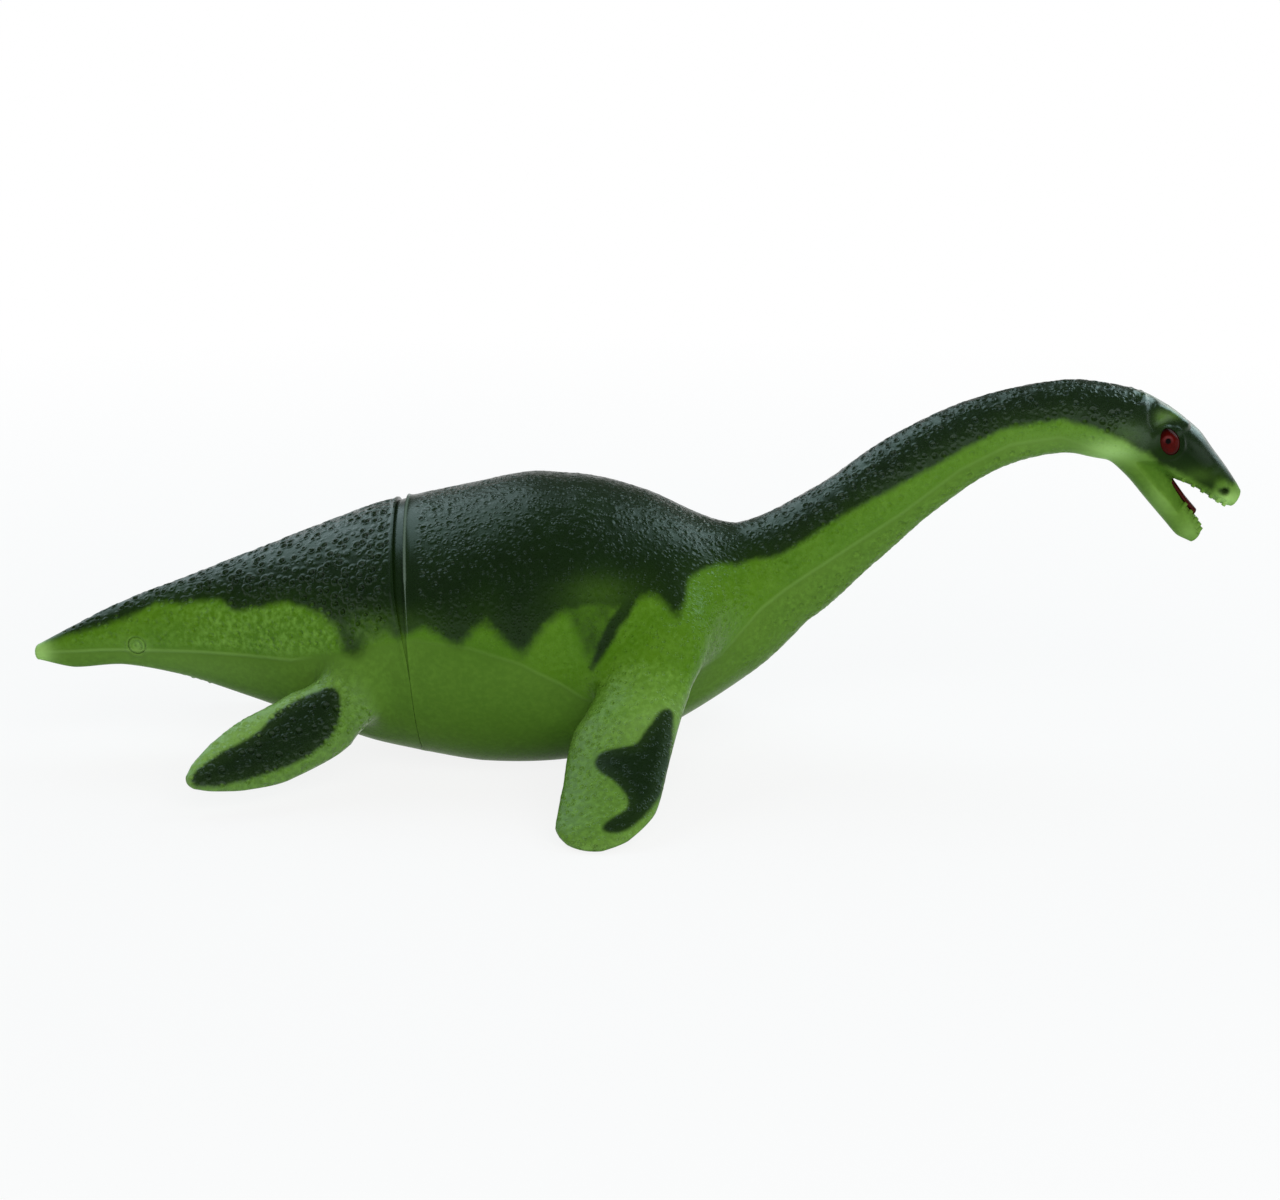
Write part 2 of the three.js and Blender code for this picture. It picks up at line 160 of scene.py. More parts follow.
def loft(run, zones, start_dome=0.0, end_dome=0.0, pointed=False):
    """Closed skin over a run. A zone is: from place, to place, ring spacing in mm, columns over the
    upper side, columns under it, and how many degrees the upper side reaches past level."""
    rings, angles = [], []
    for start, end, spacing, upper, lower, past in zones:
        fine = np.linspace(start, end, 200)
        middle, _, up = np.moveaxis(run(fine), 1, 0)
        steps = sum(np.linalg.norm(np.diff(middle + sign * up, axis=0), axis=1) for sign in (-1, 1)) / 2
        travelled = np.concatenate([[0], np.cumsum(steps)])
        count = max(3, int(round(travelled[-1] / spacing)))
        stops = np.linspace(0, travelled[-1], count + 1)
        places = np.interp(stops if not rings else stops[1:], travelled, fine)
        turn = np.radians(np.concatenate([
            np.linspace(-past, 180 + past, upper, endpoint=False),
            np.linspace(180 + past, 360 - past, lower, endpoint=False)]))
        for middle, side, up in run(places):
            rings.append(middle + np.outer(np.cos(turn), side) + np.outer(np.sin(turn), up))
            angles.append(turn)
    domes = []
    for depth, order in ((start_dome, 0), (end_dome, -1)):
        ring, turn = rings[order], angles[order]
        centre = ring.mean(axis=0)
        beside = rings[1 if order == 0 else -2].mean(axis=0)
        outward = (centre - beside) / np.linalg.norm(centre - beside)
        shares = np.cos(np.radians(np.linspace(0, 90, 7)[1:-1])) if depth else []
        power = 1.0 if pointed else 0.5
        dome = [centre + (ring - centre) * c + outward * depth * (1 - c * c) ** power for c in shares]
        domes.append((dome, [turn] * len(dome), centre + outward * depth))
    rings = domes[0][0][::-1] + rings + domes[1][0]
    angles = domes[0][1] + angles + domes[1][1]
    starts = np.cumsum([0] + [len(ring) for ring in rings])
    points = np.concatenate(rings + [[domes[0][2]], [domes[1][2]]])
    faces = []
    for k in range(len(rings) - 1):
        a, b, n, m = starts[k], starts[k + 1], len(rings[k]), len(rings[k + 1])
        if n == m and np.allclose(angles[k], angles[k + 1]):
            c = np.arange(n)
            d = (c + 1) % n
            faces += np.stack([a + c, a + d, b + d, b + c], axis=1).tolist()
            continue
        i = j = 0
        near = np.append(angles[k], angles[k][0] + 2 * np.pi)
        far = np.append(angles[k + 1], angles[k + 1][0] + 2 * np.pi)
        while i < n or j < m:
            if j == m or (i < n and near[i + 1] <= far[j + 1]):
                faces.append([a + i % n, a + (i + 1) % n, b + j % m])
                i += 1
            else:
                faces.append([a + i % n, b + (j + 1) % m, b + j % m])
                j += 1
    last = starts[-2]
    for k in range(len(rings[0])):
        faces.append([starts[-1], (k + 1) % len(rings[0]), k])
    for k in range(len(rings[-1])):
        faces.append([starts[-1] + 1, last + k, last + (k + 1) % len(rings[-1])])
    return points, faces


def mirrored(points, faces):
    return points * (1, -1, 1), [face[::-1] for face in faces]


def solid(name, points, faces):
    mesh = bpy.data.meshes.new(name)
    mesh.from_pydata(np.asarray(points) * MM, [], faces)
    piece = bpy.data.objects.new(name, mesh)
    bpy.context.scene.collection.objects.link(piece)
    return piece


def plain_mesh(piece):
    """Bakes a piece's modifiers into its mesh."""
    graph = bpy.context.evaluated_depsgraph_get()
    mesh = bpy.data.meshes.new_from_object(piece.evaluated_get(graph))
    piece.modifiers.clear()
    piece.data = mesh
    return piece


def cut(piece, operation, *others):
    for other in others:
        boolean = piece.modifiers.new("cut", "BOOLEAN")
        boolean.operation, boolean.solver, boolean.object = operation, "MANIFOLD", other
        plain_mesh(piece)
        bpy.data.objects.remove(other)
    return piece


def places_of(mesh):
    points = np.empty(len(mesh.vertices) * 3, np.float32)
    mesh.vertices.foreach_get("co", points)
    return points.reshape(-1, 3).astype(float) / MM


def normals_of(mesh):
    normals = np.empty(len(mesh.vertices) * 3, np.float32)
    mesh.vertex_normals.foreach_get("vector", normals)
    return normals.reshape(-1, 3).astype(float)


def move_to(mesh, points):
    mesh.vertices.foreach_set("co", (points * MM).astype(np.float32).ravel())
    mesh.update()


def surface_distance(points, form, reach):
    """Distance from points to a form's surface, where it is less than the reach."""
    form_points, form_faces = form
    low, high = form_points.min(axis=0) - reach, form_points.max(axis=0) + reach
    near = np.flatnonzero(((points > low) & (points < high)).all(axis=1))
    tree = BVHTree.FromPolygons(form_points.tolist(), form_faces)
    distance = np.full(len(points), 1e3)
    distance[near] = [tree.find_nearest(point)[3] for point in points[near].tolist()]
    return distance


def blur(mesh, values, weight, rounds):
    """Evens out values over a mesh, each round moving them towards the mean of their neighbours."""
    edges = np.empty(len(mesh.edges) * 2, np.int32)
    mesh.edges.foreach_get("vertices", edges)
    edges = edges.reshape(-1, 2)
    edges = edges[(weight[edges] > 0).any(axis=1)]
    a, b = np.concatenate([edges[:, 0], edges[:, 1]]), np.concatenate([edges[:, 1], edges[:, 0]])
    count = np.maximum(np.bincount(a, minlength=len(values)), 1)
    for _ in range(rounds):
        mean = np.stack([np.bincount(a, column[b], len(values)) / count for column in values.T], axis=1)
        values = values + (mean - values) * (0.6 * weight)[:, None]
    return values


def soften(piece, forms, reach, rounds, where=None):
    """Rounds the creases where the forms of a casting run into each other."""
    points = places_of(piece.data)
    second = np.sort([surface_distance(points, form, reach) for form in forms], axis=0)[1]
    weight = np.clip(1 - second / reach, 0, 1) ** 0.7
    if where is not None:
        weight *= where(points)
    move_to(piece.data, blur(piece.data, points, weight, rounds))


def from_segment(flat, start, end):
    """Distance from flat points to a straight piece of a line."""
    run = end - start
    share = np.clip((flat - start) @ run / (run @ run), 0, 1)
    return np.linalg.norm(flat - start - share[:, None] * run, axis=1)


def line_distance(points, line):
    """Distance in the side view from points to a line of x, z corners."""
    flat, corners = points[:, [0, 2]], np.array(line, float)
    return np.min([from_segment(flat, a, b) for a, b in zip(corners[:-1], corners[1:])], axis=0)


def inside_distance(flat, corners):
    """Signed distance to a closed outline, positive inside."""
    corners = np.array(corners, float)
    best = np.full(len(flat), 1e3)
    inside = np.zeros(len(flat), bool)
    for start, end in zip(corners, np.roll(corners, -1, axis=0)):
        best = np.minimum(best, from_segment(flat, start, end))
        crosses = (start[1] > flat[:, 1]) != (end[1] > flat[:, 1])
        with np.errstate(divide="ignore", invalid="ignore"):
            at = start[0] + (flat[:, 1] - start[1]) * (end[0] - start[0]) / (end[1] - start[1])
        inside ^= crosses & (flat[:, 0] < at)
    return np.where(inside, best, -best)


# Lower edge of the airbrushed back, tail to snout, as x and z in the side view. Its points and those of
# the parting line and the flippers' patches were picked by eye in the photograph. A scratch script cast
# most of them onto the body, which gave the places below, and some were then moved by hand
PAINT_EDGE = [
    (-156, 37.5), (-147.6, 38.7), (-134.6, 43), (-121.2, 47.5), (-113.1, 52.1), (-102.6, 52.9),
    (-91.4, 55), (-86, 52), (-80, 53.5), (-69.1, 56.1), (-58.2, 54.6), (-52.5, 50.5), (-50.5, 44),
    (-48, 40.5), (-44.5, 43.5), (-42.5, 48), (-37, 50.5), (-32, 49), (-25.6, 53.4), (-20.1, 51),
    (-14.2, 47.4), (-10.2, 52.6), (-6.5, 56.2), (-0.1, 49.7), (4.7, 44.5), (10.6, 53.5),
    (16.6, 58.5), (25.8, 59.6), (33, 58.5), (37, 58), (40, 61), (44, 62.5), (47.5, 60.5),
    (52.6, 54.6), (54.8, 60.1), (56.1, 65.3),
    (59.6, 66.7), (64, 67.8), (71.3, 67.1), (84.6, 69.3), (94.3, 75), (103.9, 81.3), (114.5, 87.3),
    (125.3, 93), (139.3, 101.1), (153.2, 108.5), (159.1, 109.8), (172.4, 111.7), (179.6, 110.1),
    (186.8, 107.3), (192.5, 104.8), (197.1, 101.9), (199.6, 101.2), (204, 97.2), (209, 95.2),
    (214, 92.5), (218, 89.8), (221.3, 87.9), (222.7, 90.2), (225, 91), (228, 90.2), (234, 91),
]
# Stripe of paint in the crease behind the front flipper
CREASE = [(37.5, 60), (36, 57.5), (32.5, 53), (30.5, 49), (28, 44), (26, 40.5)]
# Thin spray that drifted between the stripe and the lobe of green behind it
DRIFT = [(27.5, 58), (26.5, 50), (25.5, 43)]
NOSTRIL = [(224.4, 88), (225.6, 87.5)]
PAINTED = PAINT_EDGE + [(240, 140), (-170, 140)]
# Parting line of the mould: x, z, and how clearly it shows there
PARTING = [
    (-152, 34.4, 0.6), (-131, 36.2, 1), (-98, 37.5, 1), (-68, 38, 0.7), (-60, 40, 0), (-36, 47, 0),
    (-28.8, 48.7, 0.1), (-10.9, 47, 0.2), (4.4, 42.3, 0.3), (16.5, 35.5, 0.4), (24.1, 29.6, 0.3),
    (30, 28, 0), (52, 33, 0), (58, 36, 0), (66, 39.6, 0.2), (78.6, 52.8, 0.6), (89.6, 60.5, 0.6),
    (100.6, 67.5, 0.6), (122.5, 81.4, 0.5), (141.1, 95.5, 0.4), (156.5, 103.4, 0.4), (172.1, 105.8, 0.3),
    (188.3, 99.7, 0.1), (196, 98, 0), (202, 104, 0), (206, 106, 0), (212, 103, 0), (222, 94, 0), (234, 86, 0),
]
# Patch of paint on the right front flipper
FRONT_PATCH = [
    (48.8, -59.3, 31.4), (50.3, -59.7, 30), (47.5, -78.2, 14.1), (42.8, -87.7, 9.2),
    (35.8, -94.1, 5.5), (30.8, -94.5, 5.6), (32.5, -92.1, 7.2), (38.7, -89.1, 9), (39.2, -85.6, 11.6),
    (35.7, -79.9, 15.9), (28.2, -74.7, 18.9), (29.4, -71.9, 21.2), (34.1, -71.2, 22.5),
    (40.4, -71, 22.8), (44, -65.8, 26.8),
]
# Thin spots of the spray: x, z, spread in x and z, share of the paint that is missing there. The
# spots on the brow and the crown, from x 201 to 209, are a painted highlight on the head's ridge
THIN_PAINT_AND_HIGHLIGHTS = [
    (28, 63, 10, 5, 0.25), (-30, 53, 12, 4, 0.12), (-43, 50, 7, 5, 0.35), (192, 107, 7, 4, 0.2),
    (207.5, 112, 3.5, 1.3, 0.3), (203.5, 111.5, 2, 2.2, 0.35), (216, 93, 6, 2.5, 0.3),
    (223.5, 90.2, 1.8, 1.6, 0.7), (201.5, 118.6, 5, 1.5, 0.12), (208.5, 114, 4, 1.5, 0.12),
]
# Paler and deeper places of the moulded green: x, z, spread in x and z, amount. The deeper spots low
# on the belly and chest, at x 20 and -4, are painted shade, and the pale spot on the brow at x 207 is a
# painted highlight
TONES_AND_PAINTED_LIGHT = [
    (-152, 34, 4.5, 6, 1.1), (-100, 31, 30, 7, 0.13), (-118.6, 38.3, 3.4, 2.4, 0.35),
    (188, 100.5, 8, 4.5, 1.0), (227, 84.5, 5, 3, 1.0), (205, 84, 5, 9, 0.35), (207, 113, 9, 3, 0.4),
    (215, 73.5, 4, 4, 0.35), (66, 66, 8, 6, -0.2), (-8, 47, 24, 8, -0.3), (26.5, 51.5, 6, 8, -0.3),
    (20, 10, 30, 14, -0.3), (-4, 26, 44, 18, -0.3), (-80, 50, 30, 10, -0.12), (168, 104, 16, 5, 0.1),
]
# Hollow of the cheek behind the mouth, in the side view; its deeper green is painted shade under the upper
# lip
CHEEK = [(197, 97.2), (203.6, 97.6), (208.2, 93), (211, 88.5), (213.6, 83.6), (211.2, 81), (204, 88.5)]
# What changes along the body: places in x, and the value at each
ALONG = {
    "edge softness": ([-65, -50, -38, -30, -15, 40, 60, 80, 180, 200],
                      [1.1, 2.2, 2.2, 1.3, 1.9, 1.7, 1, 1, 1.1, 1.1]),
    "rounded lobes": ([-60, -45, 40, 56], [0, 1, 1, 0]),
    "parting slant": ([190, 200], [1, 0.3]),
    "pebbles at the tail": ([-150, -138], [0, 1]),
    "pebbles at the head": ([188, 200], [1, 0.12]),
    "pebbles off the paint": ([20, 35, 75, 95], [0.45, 0.9, 0.9, 0.5]),
    "grain below": ([60, 80, 165, 182], [0, 1, 1, 0]),
    "coarse pits": ([-40, -22, 0, 60, 100, 180], [1, 0.6, 0.2, 0.25, 0.85, 0.8]),
    "mottle": ([-115, -90, -40, -25], [0.3, 1, 1, 0.25]),
    "gloss": ([-25, 0, 40, 60, 100], [1, 0.72, 0.72, 1, 1.35]),
    "full coat": ([60, 90], [11, 5]),
    "chest gloss": ([38, 48, 72, 84], [0, 0.6, 0.6, 0]),
    "crown gloss": ([190, 200], [0, 1]),
}


def spots(x, z, rows):
    """Sum of soft spots in the side view: x, z, spread in x and z, amount."""
    return sum(amount * np.exp(-((x - at_x) / wide) ** 2 - ((z - at_z) / high) ** 2)
               for at_x, at_z, wide, high, amount in rows)


def dress(piece, body_form, flipper_frame, patch):
    """Stores what the airbrush, the mould and the painted light and shade did at each point of a casting."""
    mesh = piece.data
    points, normals = places_of(mesh), normals_of(mesh)
    x, y, z = points.T
    flat = points[:, [0, 2]]
    here = {name: np.interp(x, *table) for name, table in ALONG.items()}

    # Flipper: where the skin is part of it, and its patch of paint in its own directions
    to_right = np.stack([np.ones(len(y)), np.where(y > 0, -1, 1), np.ones(len(y))], axis=1)
    root, axis, across, thick, free = flipper_frame
    from_root = points * to_right - root
    along, chord = from_root @ axis, from_root @ across
    upper = ((normals * to_right) @ thick) * np.sign(thick[2])
    off_body = np.clip((surface_distance(points, body_form, 12) - 1.2) / 4, 0, 1)
    limb = off_body * np.clip((along - free) / 6, 0, 1) * (chord > -30)
    front = x > 0
    corners = (np.array(patch) - root) @ np.stack([across, axis], axis=1)
    for _ in range(3):
        following = np.roll(corners, -1, axis=0)
        corners = np.stack([0.75 * corners + 0.25 * following, 0.25 * corners + 0.75 * following], axis=1)
        corners = corners.reshape(-1, 2)
    patch_paint = inside_distance(np.stack([chord, along], axis=1), corners) + 1.2
    patch_paint = np.minimum(patch_paint, upper * 12 + 5)

    # Paint: how far inside its edge, over the softness of the edge
    paint = inside_distance(flat, PAINTED)
    paint = np.where(limb > 0.1, np.maximum(patch_paint, paint - 12 * limb), paint)
    paint = blur(mesh, paint[:, None], here["rounded lobes"] * (1 - limb), 10)[:, 0]
    paint /= here["edge softness"] + (0.7 - here["edge softness"]) * limb
    stripe = np.interp(z, [40, 44, 50], [0.5, 1.2, 2.1]) - 1.1 * line_distance(points, CREASE)
    drift = 0.35 * (np.interp(z, [42, 50, 58], [0, 3.5, 8]) - line_distance(points, DRIFT)) - 0.6
    nostril = 1.3 - 1.3 * line_distance(points, NOSTRIL)
    paint = np.max([paint, stripe, np.minimum(drift, -0.25), nostril], axis=0)
    dark = np.clip(0.5 + paint / 4, 0, 1)

    # Moulded colour, with painted light and shade in it: the flippers are paler on their upper faces as
    # if lit from above, on the rear ones partly their own paler margin too, and the cheek hollow is
    # deepened as painted shade
    flipper_tone_and_top_light = np.where(front, 0.3, np.interp(chord, [-4, 7], [0.35, -0.15]))
    flipper_tone_and_top_light *= limb * np.clip(upper + 0.3, 0, 1) * np.clip((along - free) / 20, 0, 1)
    cheek_painted_shade = 0.55 * np.clip(inside_distance(flat, CHEEK) / 1.6 + 0.4, 0, 1) * (x > 190)
    tone_and_painted_light = spots(x, z, TONES_AND_PAINTED_LIGHT) + flipper_tone_and_top_light - cheek_painted_shade

    # Parting line: height above it, and the pebbled skin over it
    line_x, line_z, clear = np.array(PARTING).T
    slope = np.interp(x, line_x, np.gradient(line_z, line_x))
    parting = (z - np.interp(x, line_x, line_z)) * np.cos(np.arctan(slope)) * here["parting slant"]
    above = np.clip(parting / 3, 0, 1) * (1 - limb)
    under = np.clip(-parting / 3, 0, 1)
    below = 0.8 * under * here["grain below"]
    pebbled = np.maximum(above * np.maximum(here["pebbles off the paint"], dark), below * (1 - limb))
    limb_pebbled = np.where(front, 0.75, 0.6 + 0.7 * dark) * limb * (upper > -0.2)
    from_lip = (points - SEAM_MIDDLE) @ SEAM_AXIS
    calm = np.clip((np.abs(from_lip) - 3.6) / 2, 0, 1)
    calm *= here["pebbles at the head"] * here["pebbles at the tail"]
    strength = calm * np.maximum(pebbled, limb_pebbled)
    coarse = here["coarse pits"] * (1 - limb * front)
    mottle = np.max([here["mottle"] * above, 0.65 * limb + 0.5 * below, 0.3 * under], axis=0)

    # Gloss: little under the parting line, more where the coat is thick and on the crown
    shine = np.interp(parting, [-0.6, 1.5], [0.04, 0.5]) * here["gloss"]
    coated = np.clip((paint + 1) / here["full coat"], 0, 1)
    shine *= np.maximum(0.35 + 0.65 * coated, here["chest gloss"])
    shine *= 1 + np.clip(normals[:, 2] - 0.3, 0, 1) * here["crown gloss"]
    shine += (np.where(upper > 0, np.where(front, 0.32, 0.48), 0.08) - shine) * limb
    values = {
        "paint": paint, "cover": 1 - spots(x, z, THIN_PAINT_AND_HIGHLIGHTS), "tone_and_painted_light": tone_and_painted_light, "mottle": mottle,
        "parting": parting, "parting_shows": np.interp(x, line_x, clear) * (1 - limb),
        "pits": strength * coarse, "grain": strength * (1 - 0.75 * coarse), "shine": shine,
        "lip": (from_lip - 0.5) * (1 + 6 * np.clip((66 - z) / 12, 0, 1)),
    }
    for name, value in values.items():
        attribute = mesh.attributes.get(name) or mesh.attributes.new(name, "FLOAT", "POINT")
        attribute.data.foreach_set("value", value.astype(np.float32))


def settle(piece, material, *dressing):
    """After the cuts: one material, attributes on the new inside faces too, and smooth shading."""
    mesh = piece.data
    mesh.materials.clear()
    mesh.materials.append(material)
    mesh.polygons.foreach_set("material_index", np.zeros(len(mesh.polygons), np.int32))
    dress(piece, *dressing)
    place = np.empty(len(mesh.vertices) * 3, np.float32)
    mesh.attributes["mould_place"].data.foreach_get("vector", place)
    place = place.reshape(-1, 3)
    place = np.where(np.abs(place).sum(axis=1, keepdims=True) > 1e-7, place, places_of(mesh) * MM)
    mesh.attributes["mould_place"].data.foreach_set("vector", place.astype(np.float32).ravel())
    mesh.shade_smooth()
    mesh.set_sharp_from_angle(angle=math.radians(40))


def add(tree, kind, settings=None, **inputs):
    """Adds a node with its settings; an input is a value or the output to link to it."""
    node = tree.nodes.new(kind)
    for key, value in (settings or {}).items():
        setattr(node, key, value)
    for key, value in inputs.items():
        name = key.replace("_", " ")
        socket = node.inputs[int(key[1:])] if key[1:].isdigit() else node.inputs[name]
        if isinstance(value, bpy.types.NodeSocket):
            tree.links.new(value, socket)
        else:
            socket.default_value = value
    return node


def linear(code):
    """Linear colour of an sRGB hex value."""
    parts = [int(code[k:k + 2], 16) / 255 for k in (1, 3, 5)]
    return tuple(c / 12.92 if c <= 0.04045 else ((c + 0.055) / 1.055) ** 2.4 for c in parts) + (1.0,)


def pit_height(tree, place, spacing, small, large):
    """Round pits with low rims, a fixed distance apart, their radius from small to large as a share
    of that: -1 in a pit, 0 between."""
    wander = add(tree, "ShaderNodeTexNoise", Vector=place, Scale=0.55 / spacing, Detail=1.0)
    bent = add(tree, "ShaderNodeVectorMath", {"operation": "MULTIPLY_ADD"},
               _0=wander.outputs["Color"], _1=(0.3 * spacing,) * 3, _2=place)
    cells = add(tree, "ShaderNodeTexVoronoi", {"feature": "F1"},
                Vector=bent.outputs[0], Scale=1 / spacing, Randomness=0.75)
    chance = add(tree, "ShaderNodeSeparateXYZ", Vector=cells.outputs["Color"])
    width = add(tree, "ShaderNodeMapRange", Value=chance.outputs[0], To_Min=small, To_Max=large)
    ratio = add(tree, "ShaderNodeMath", {"operation": "DIVIDE"},
                _0=cells.outputs["Distance"], _1=width.outputs[0])
    bowl = add(tree, "ShaderNodeMapRange", {"interpolation_type": "SMOOTHSTEP"},
               Value=ratio.outputs[0], From_Min=0.25, From_Max=1.0, To_Min=-1.0, To_Max=0.4)
    flat = add(tree, "ShaderNodeMapRange", {"interpolation_type": "SMOOTHSTEP"},
               Value=ratio.outputs[0], From_Min=1.0, From_Max=1.6, To_Min=0.0, To_Max=-0.4)
    return add(tree, "ShaderNodeMath", _0=bowl.outputs[0], _1=flat.outputs[0]).outputs[0]


# Patterns of the mould: distance between pits, and their least and largest radius as a share of it
PITS = (2.7 * MM, 0.28, 0.49)
GRAIN = (1.9 * MM, 0.2, 0.42)


def new_tree(name, *numbers):
    """A Geometry Nodes tree that takes a mesh, numbers and a material, and what it is given."""
    tree = bpy.data.node_groups.new(name, "GeometryNodeTree")
    face = tree.interface
    face.new_socket("Geometry", in_out="INPUT", socket_type="NodeSocketGeometry")
    for number in numbers:
        face.new_socket(number, in_out="INPUT", socket_type="NodeSocketFloat")
    face.new_socket("Material", in_out="INPUT", socket_type="NodeSocketMaterial")
    face.new_socket("Geometry", in_out="OUTPUT", socket_type="NodeSocketGeometry")
    return tree, add(tree, "NodeGroupInput").outputs


def end_tree(tree, given, geometry):
    """Makes the instances real, sets the material and ends the tree."""
    real = add(tree, "GeometryNodeRealizeInstances", Geometry=geometry)
    done = add(tree, "GeometryNodeSetMaterial", Geometry=real.outputs[0], Material=given["Material"])
    add(tree, "NodeGroupOutput", Geometry=done.outputs[0])
    return tree


def pebble_tree():
    """Presses the mould's pits into a casting, where its attributes ask for them."""
    tree, given = new_tree("pebbled mould", "Pit Depth", "Grain Depth")
    place = add(tree, "GeometryNodeInputPosition").outputs[0]
    kept = add(tree, "GeometryNodeStoreNamedAttribute", {"data_type": "FLOAT_VECTOR", "domain": "POINT"},
               Geometry=given["Geometry"], Name="mould_place", Value=place)
    drops = []
    for name, depth, pattern in (("pits", "Pit Depth", PITS), ("grain", "Grain Depth", GRAIN)):
        share = add(tree, "GeometryNodeInputNamedAttribute", {"data_type": "FLOAT"}, Name=name)
        drop = pit_height(tree, place, *pattern)
        for times in (given[depth], share.outputs["Attribute"]):
            drop = add(tree, "ShaderNodeMath", {"operation": "MULTIPLY"}, _0=drop, _1=times).outputs[0]
        drops.append(drop)
    total = add(tree, "ShaderNodeMath", _0=drops[0], _1=drops[1])
    offset = add(tree, "ShaderNodeVectorMath", {"operation": "SCALE"},
                 Vector=add(tree, "GeometryNodeInputNormal").outputs[0], Scale=total.outputs[0])
    moved = add(tree, "GeometryNodeSetPosition", Geometry=kept.outputs[0], Offset=offset.outputs[0])
    return end_tree(tree, given, moved.outputs[0])


def through_nodes(piece, tree, **inputs):
    """Runs a piece through a Geometry Nodes tree and keeps the result as a plain mesh."""
    modifier = piece.modifiers.new(tree.name, "NODES")
    modifier.node_group = tree
    for socket in tree.interface.items_tree:
        if socket.in_out == "INPUT" and socket.name in inputs:
            modifier[socket.identifier] = inputs[socket.name]
    return plain_mesh(piece)


def new_material(name):
    """A material without nodes, and its tree."""
    material = bpy.data.materials.new(name)
    material.use_nodes = True
    material.node_tree.nodes.clear()
    return material, material.node_tree


PALE_GREEN = "#a0cb70"


def vinyl():
    """Soft PVC, moulded in light green and airbrushed dark green along the back, with some painted light
    and shade in its colour. Satin: broad pale glints on the ridges between pits, thin paint at its edges,
    clean smooth skin under the parting."""
    material, tree = new_material("airbrushed soft vinyl")
    place = add(tree, "ShaderNodeAttribute", {"attribute_name": "mould_place"}).outputs["Vector"]
    read = {name: add(tree, "ShaderNodeAttribute", {"attribute_name": name}).outputs["Fac"]
            for name in ("paint", "cover", "tone_and_painted_light", "mottle", "parting", "parting_shows",
                         "pits", "grain", "shine", "lip")}
    pits, grain = pit_height(tree, place, *PITS), pit_height(tree, place, *GRAIN)
    # Clouds in the colour, specks, the wandering edge of the spray and a fine skin grain: size in mm
    cloud, speck, wander, micro = (
        add(tree, "ShaderNodeTexNoise", Vector=place, Scale=1 / (size * MM), Detail=detail).outputs["Fac"]
        for size, detail in ((14, 2.0), (1.6, 2.0), (5, 3.0), (0.7, 2.0)))
    off_parting, off_lip = (
        add(tree, "ShaderNodeMath", {"operation": "ABSOLUTE"}, _0=read[name]).outputs[0]
        for name in ("parting", "lip"))
    under, mottle, wander_by, spray, gloss = (
        add(tree, "ShaderNodeMapRange", Value=value, From_Min=start, From_Max=end,
            To_Min=low, To_Max=high).outputs[0]
        for value, start, end, low, high in (
            (read["parting"], 1.5, -0.6, 0.0, 0.55), (speck, 0.4, 0.75, 0.0, 1.0),
            (wander, 0.25, 0.75, -0.35, 0.35), (speck, 0.3, 0.7, -0.25, 0.25),
            (micro, 0.3, 0.7, 0.24, 0.36)))
    ridge, lip_highlight = (
        add(tree, "ShaderNodeMapRange", {"interpolation_type": "SMOOTHSTEP"}, Value=value,
            From_Min=start, From_Max=0.1, To_Max=high).outputs[0]
        for value, start, high in ((off_parting, 0.9, 1.0), (off_lip, 0.6, 0.45)))
    mottled, deep, ridged, pitted, grained = (
        add(tree, "ShaderNodeMath", {"operation": "MULTIPLY"}, _0=one, _1=other).outputs[0]
        for one, other in ((mottle, read["mottle"]), (read["tone_and_painted_light"], -1.0), (ridge, read["parting_shows"]),
                           (pits, read["pits"]), (grain, read["grain"])))
    flash = add(tree, "ShaderNodeMath", {"operation": "MULTIPLY"}, _0=ridged, _1=0.25).outputs[0]

    # Moulded colour: duller under the parting line, mottled where it is pebbled, paler or deeper in
    # places, and pale along the parting line. Part of the paler and deeper is painted light: a highlight on
    # the brow, light on the flippers' tops, and shade on the belly and in the cheek hollow
    colour = add(tree, "ShaderNodeMix", {"data_type": "RGBA"}, _0=cloud,
                 _6=linear("#43700c"), _7=linear("#5f891f")).outputs[2]
    for share, layer in ((under, "#61823b"), (mottled, "#7aa842"), (read["tone_and_painted_light"], PALE_GREEN),
                         (deep, "#38610f"), (flash, PALE_GREEN)):
        colour = add(tree, "ShaderNodeMix", {"data_type": "RGBA"}, _0=share,
                     _6=colour, _7=linear(layer)).outputs[2]

    # Airbrush: a soft edge about 2 mm wide that wanders and misses pits, with specks of overspray, and
    # a painted highlight: a pale grey-green line along the front lip at the seam, where the lip catches the
    # light
    edge = read["paint"]
    for shift, times in ((wander_by, 1.0), (spray, 1.0), (pitted, 0.9)):
        edge = add(tree, "ShaderNodeMath", {"operation": "MULTIPLY_ADD"},
                   _0=shift, _1=times, _2=edge).outputs[0]
    covered = add(tree, "ShaderNodeMapRange", {"interpolation_type": "SMOOTHSTEP"},
                  Value=edge, From_Min=-1.5, From_Max=1.0).outputs[0]
    thin = add(tree, "ShaderNodeMapRange", Value=edge, From_Min=0.0, From_Max=6.0, To_Min=0.94, To_Max=1.0)
    for share in (thin.outputs[0], read["cover"]):
        covered = add(tree, "ShaderNodeMath", {"operation": "MULTIPLY"}, _0=covered, _1=share).outputs[0]
    dark = add(tree, "ShaderNodeMix", {"data_type": "RGBA"}, _0=cloud,
               _6=linear("#0f1e08"), _7=linear("#172b0e"))
    lip_highlight_share = add(tree, "ShaderNodeMath", {"operation": "MULTIPLY"}, _0=lip_highlight, _1=covered)
    for share, layer in ((covered, dark.outputs[2]), (lip_highlight_share.outputs[0], linear("#86998a"))):
        colour = add(tree, "ShaderNodeMix", {"data_type": "RGBA"}, _0=share,
                     _6=colour, _7=layer).outputs[2]

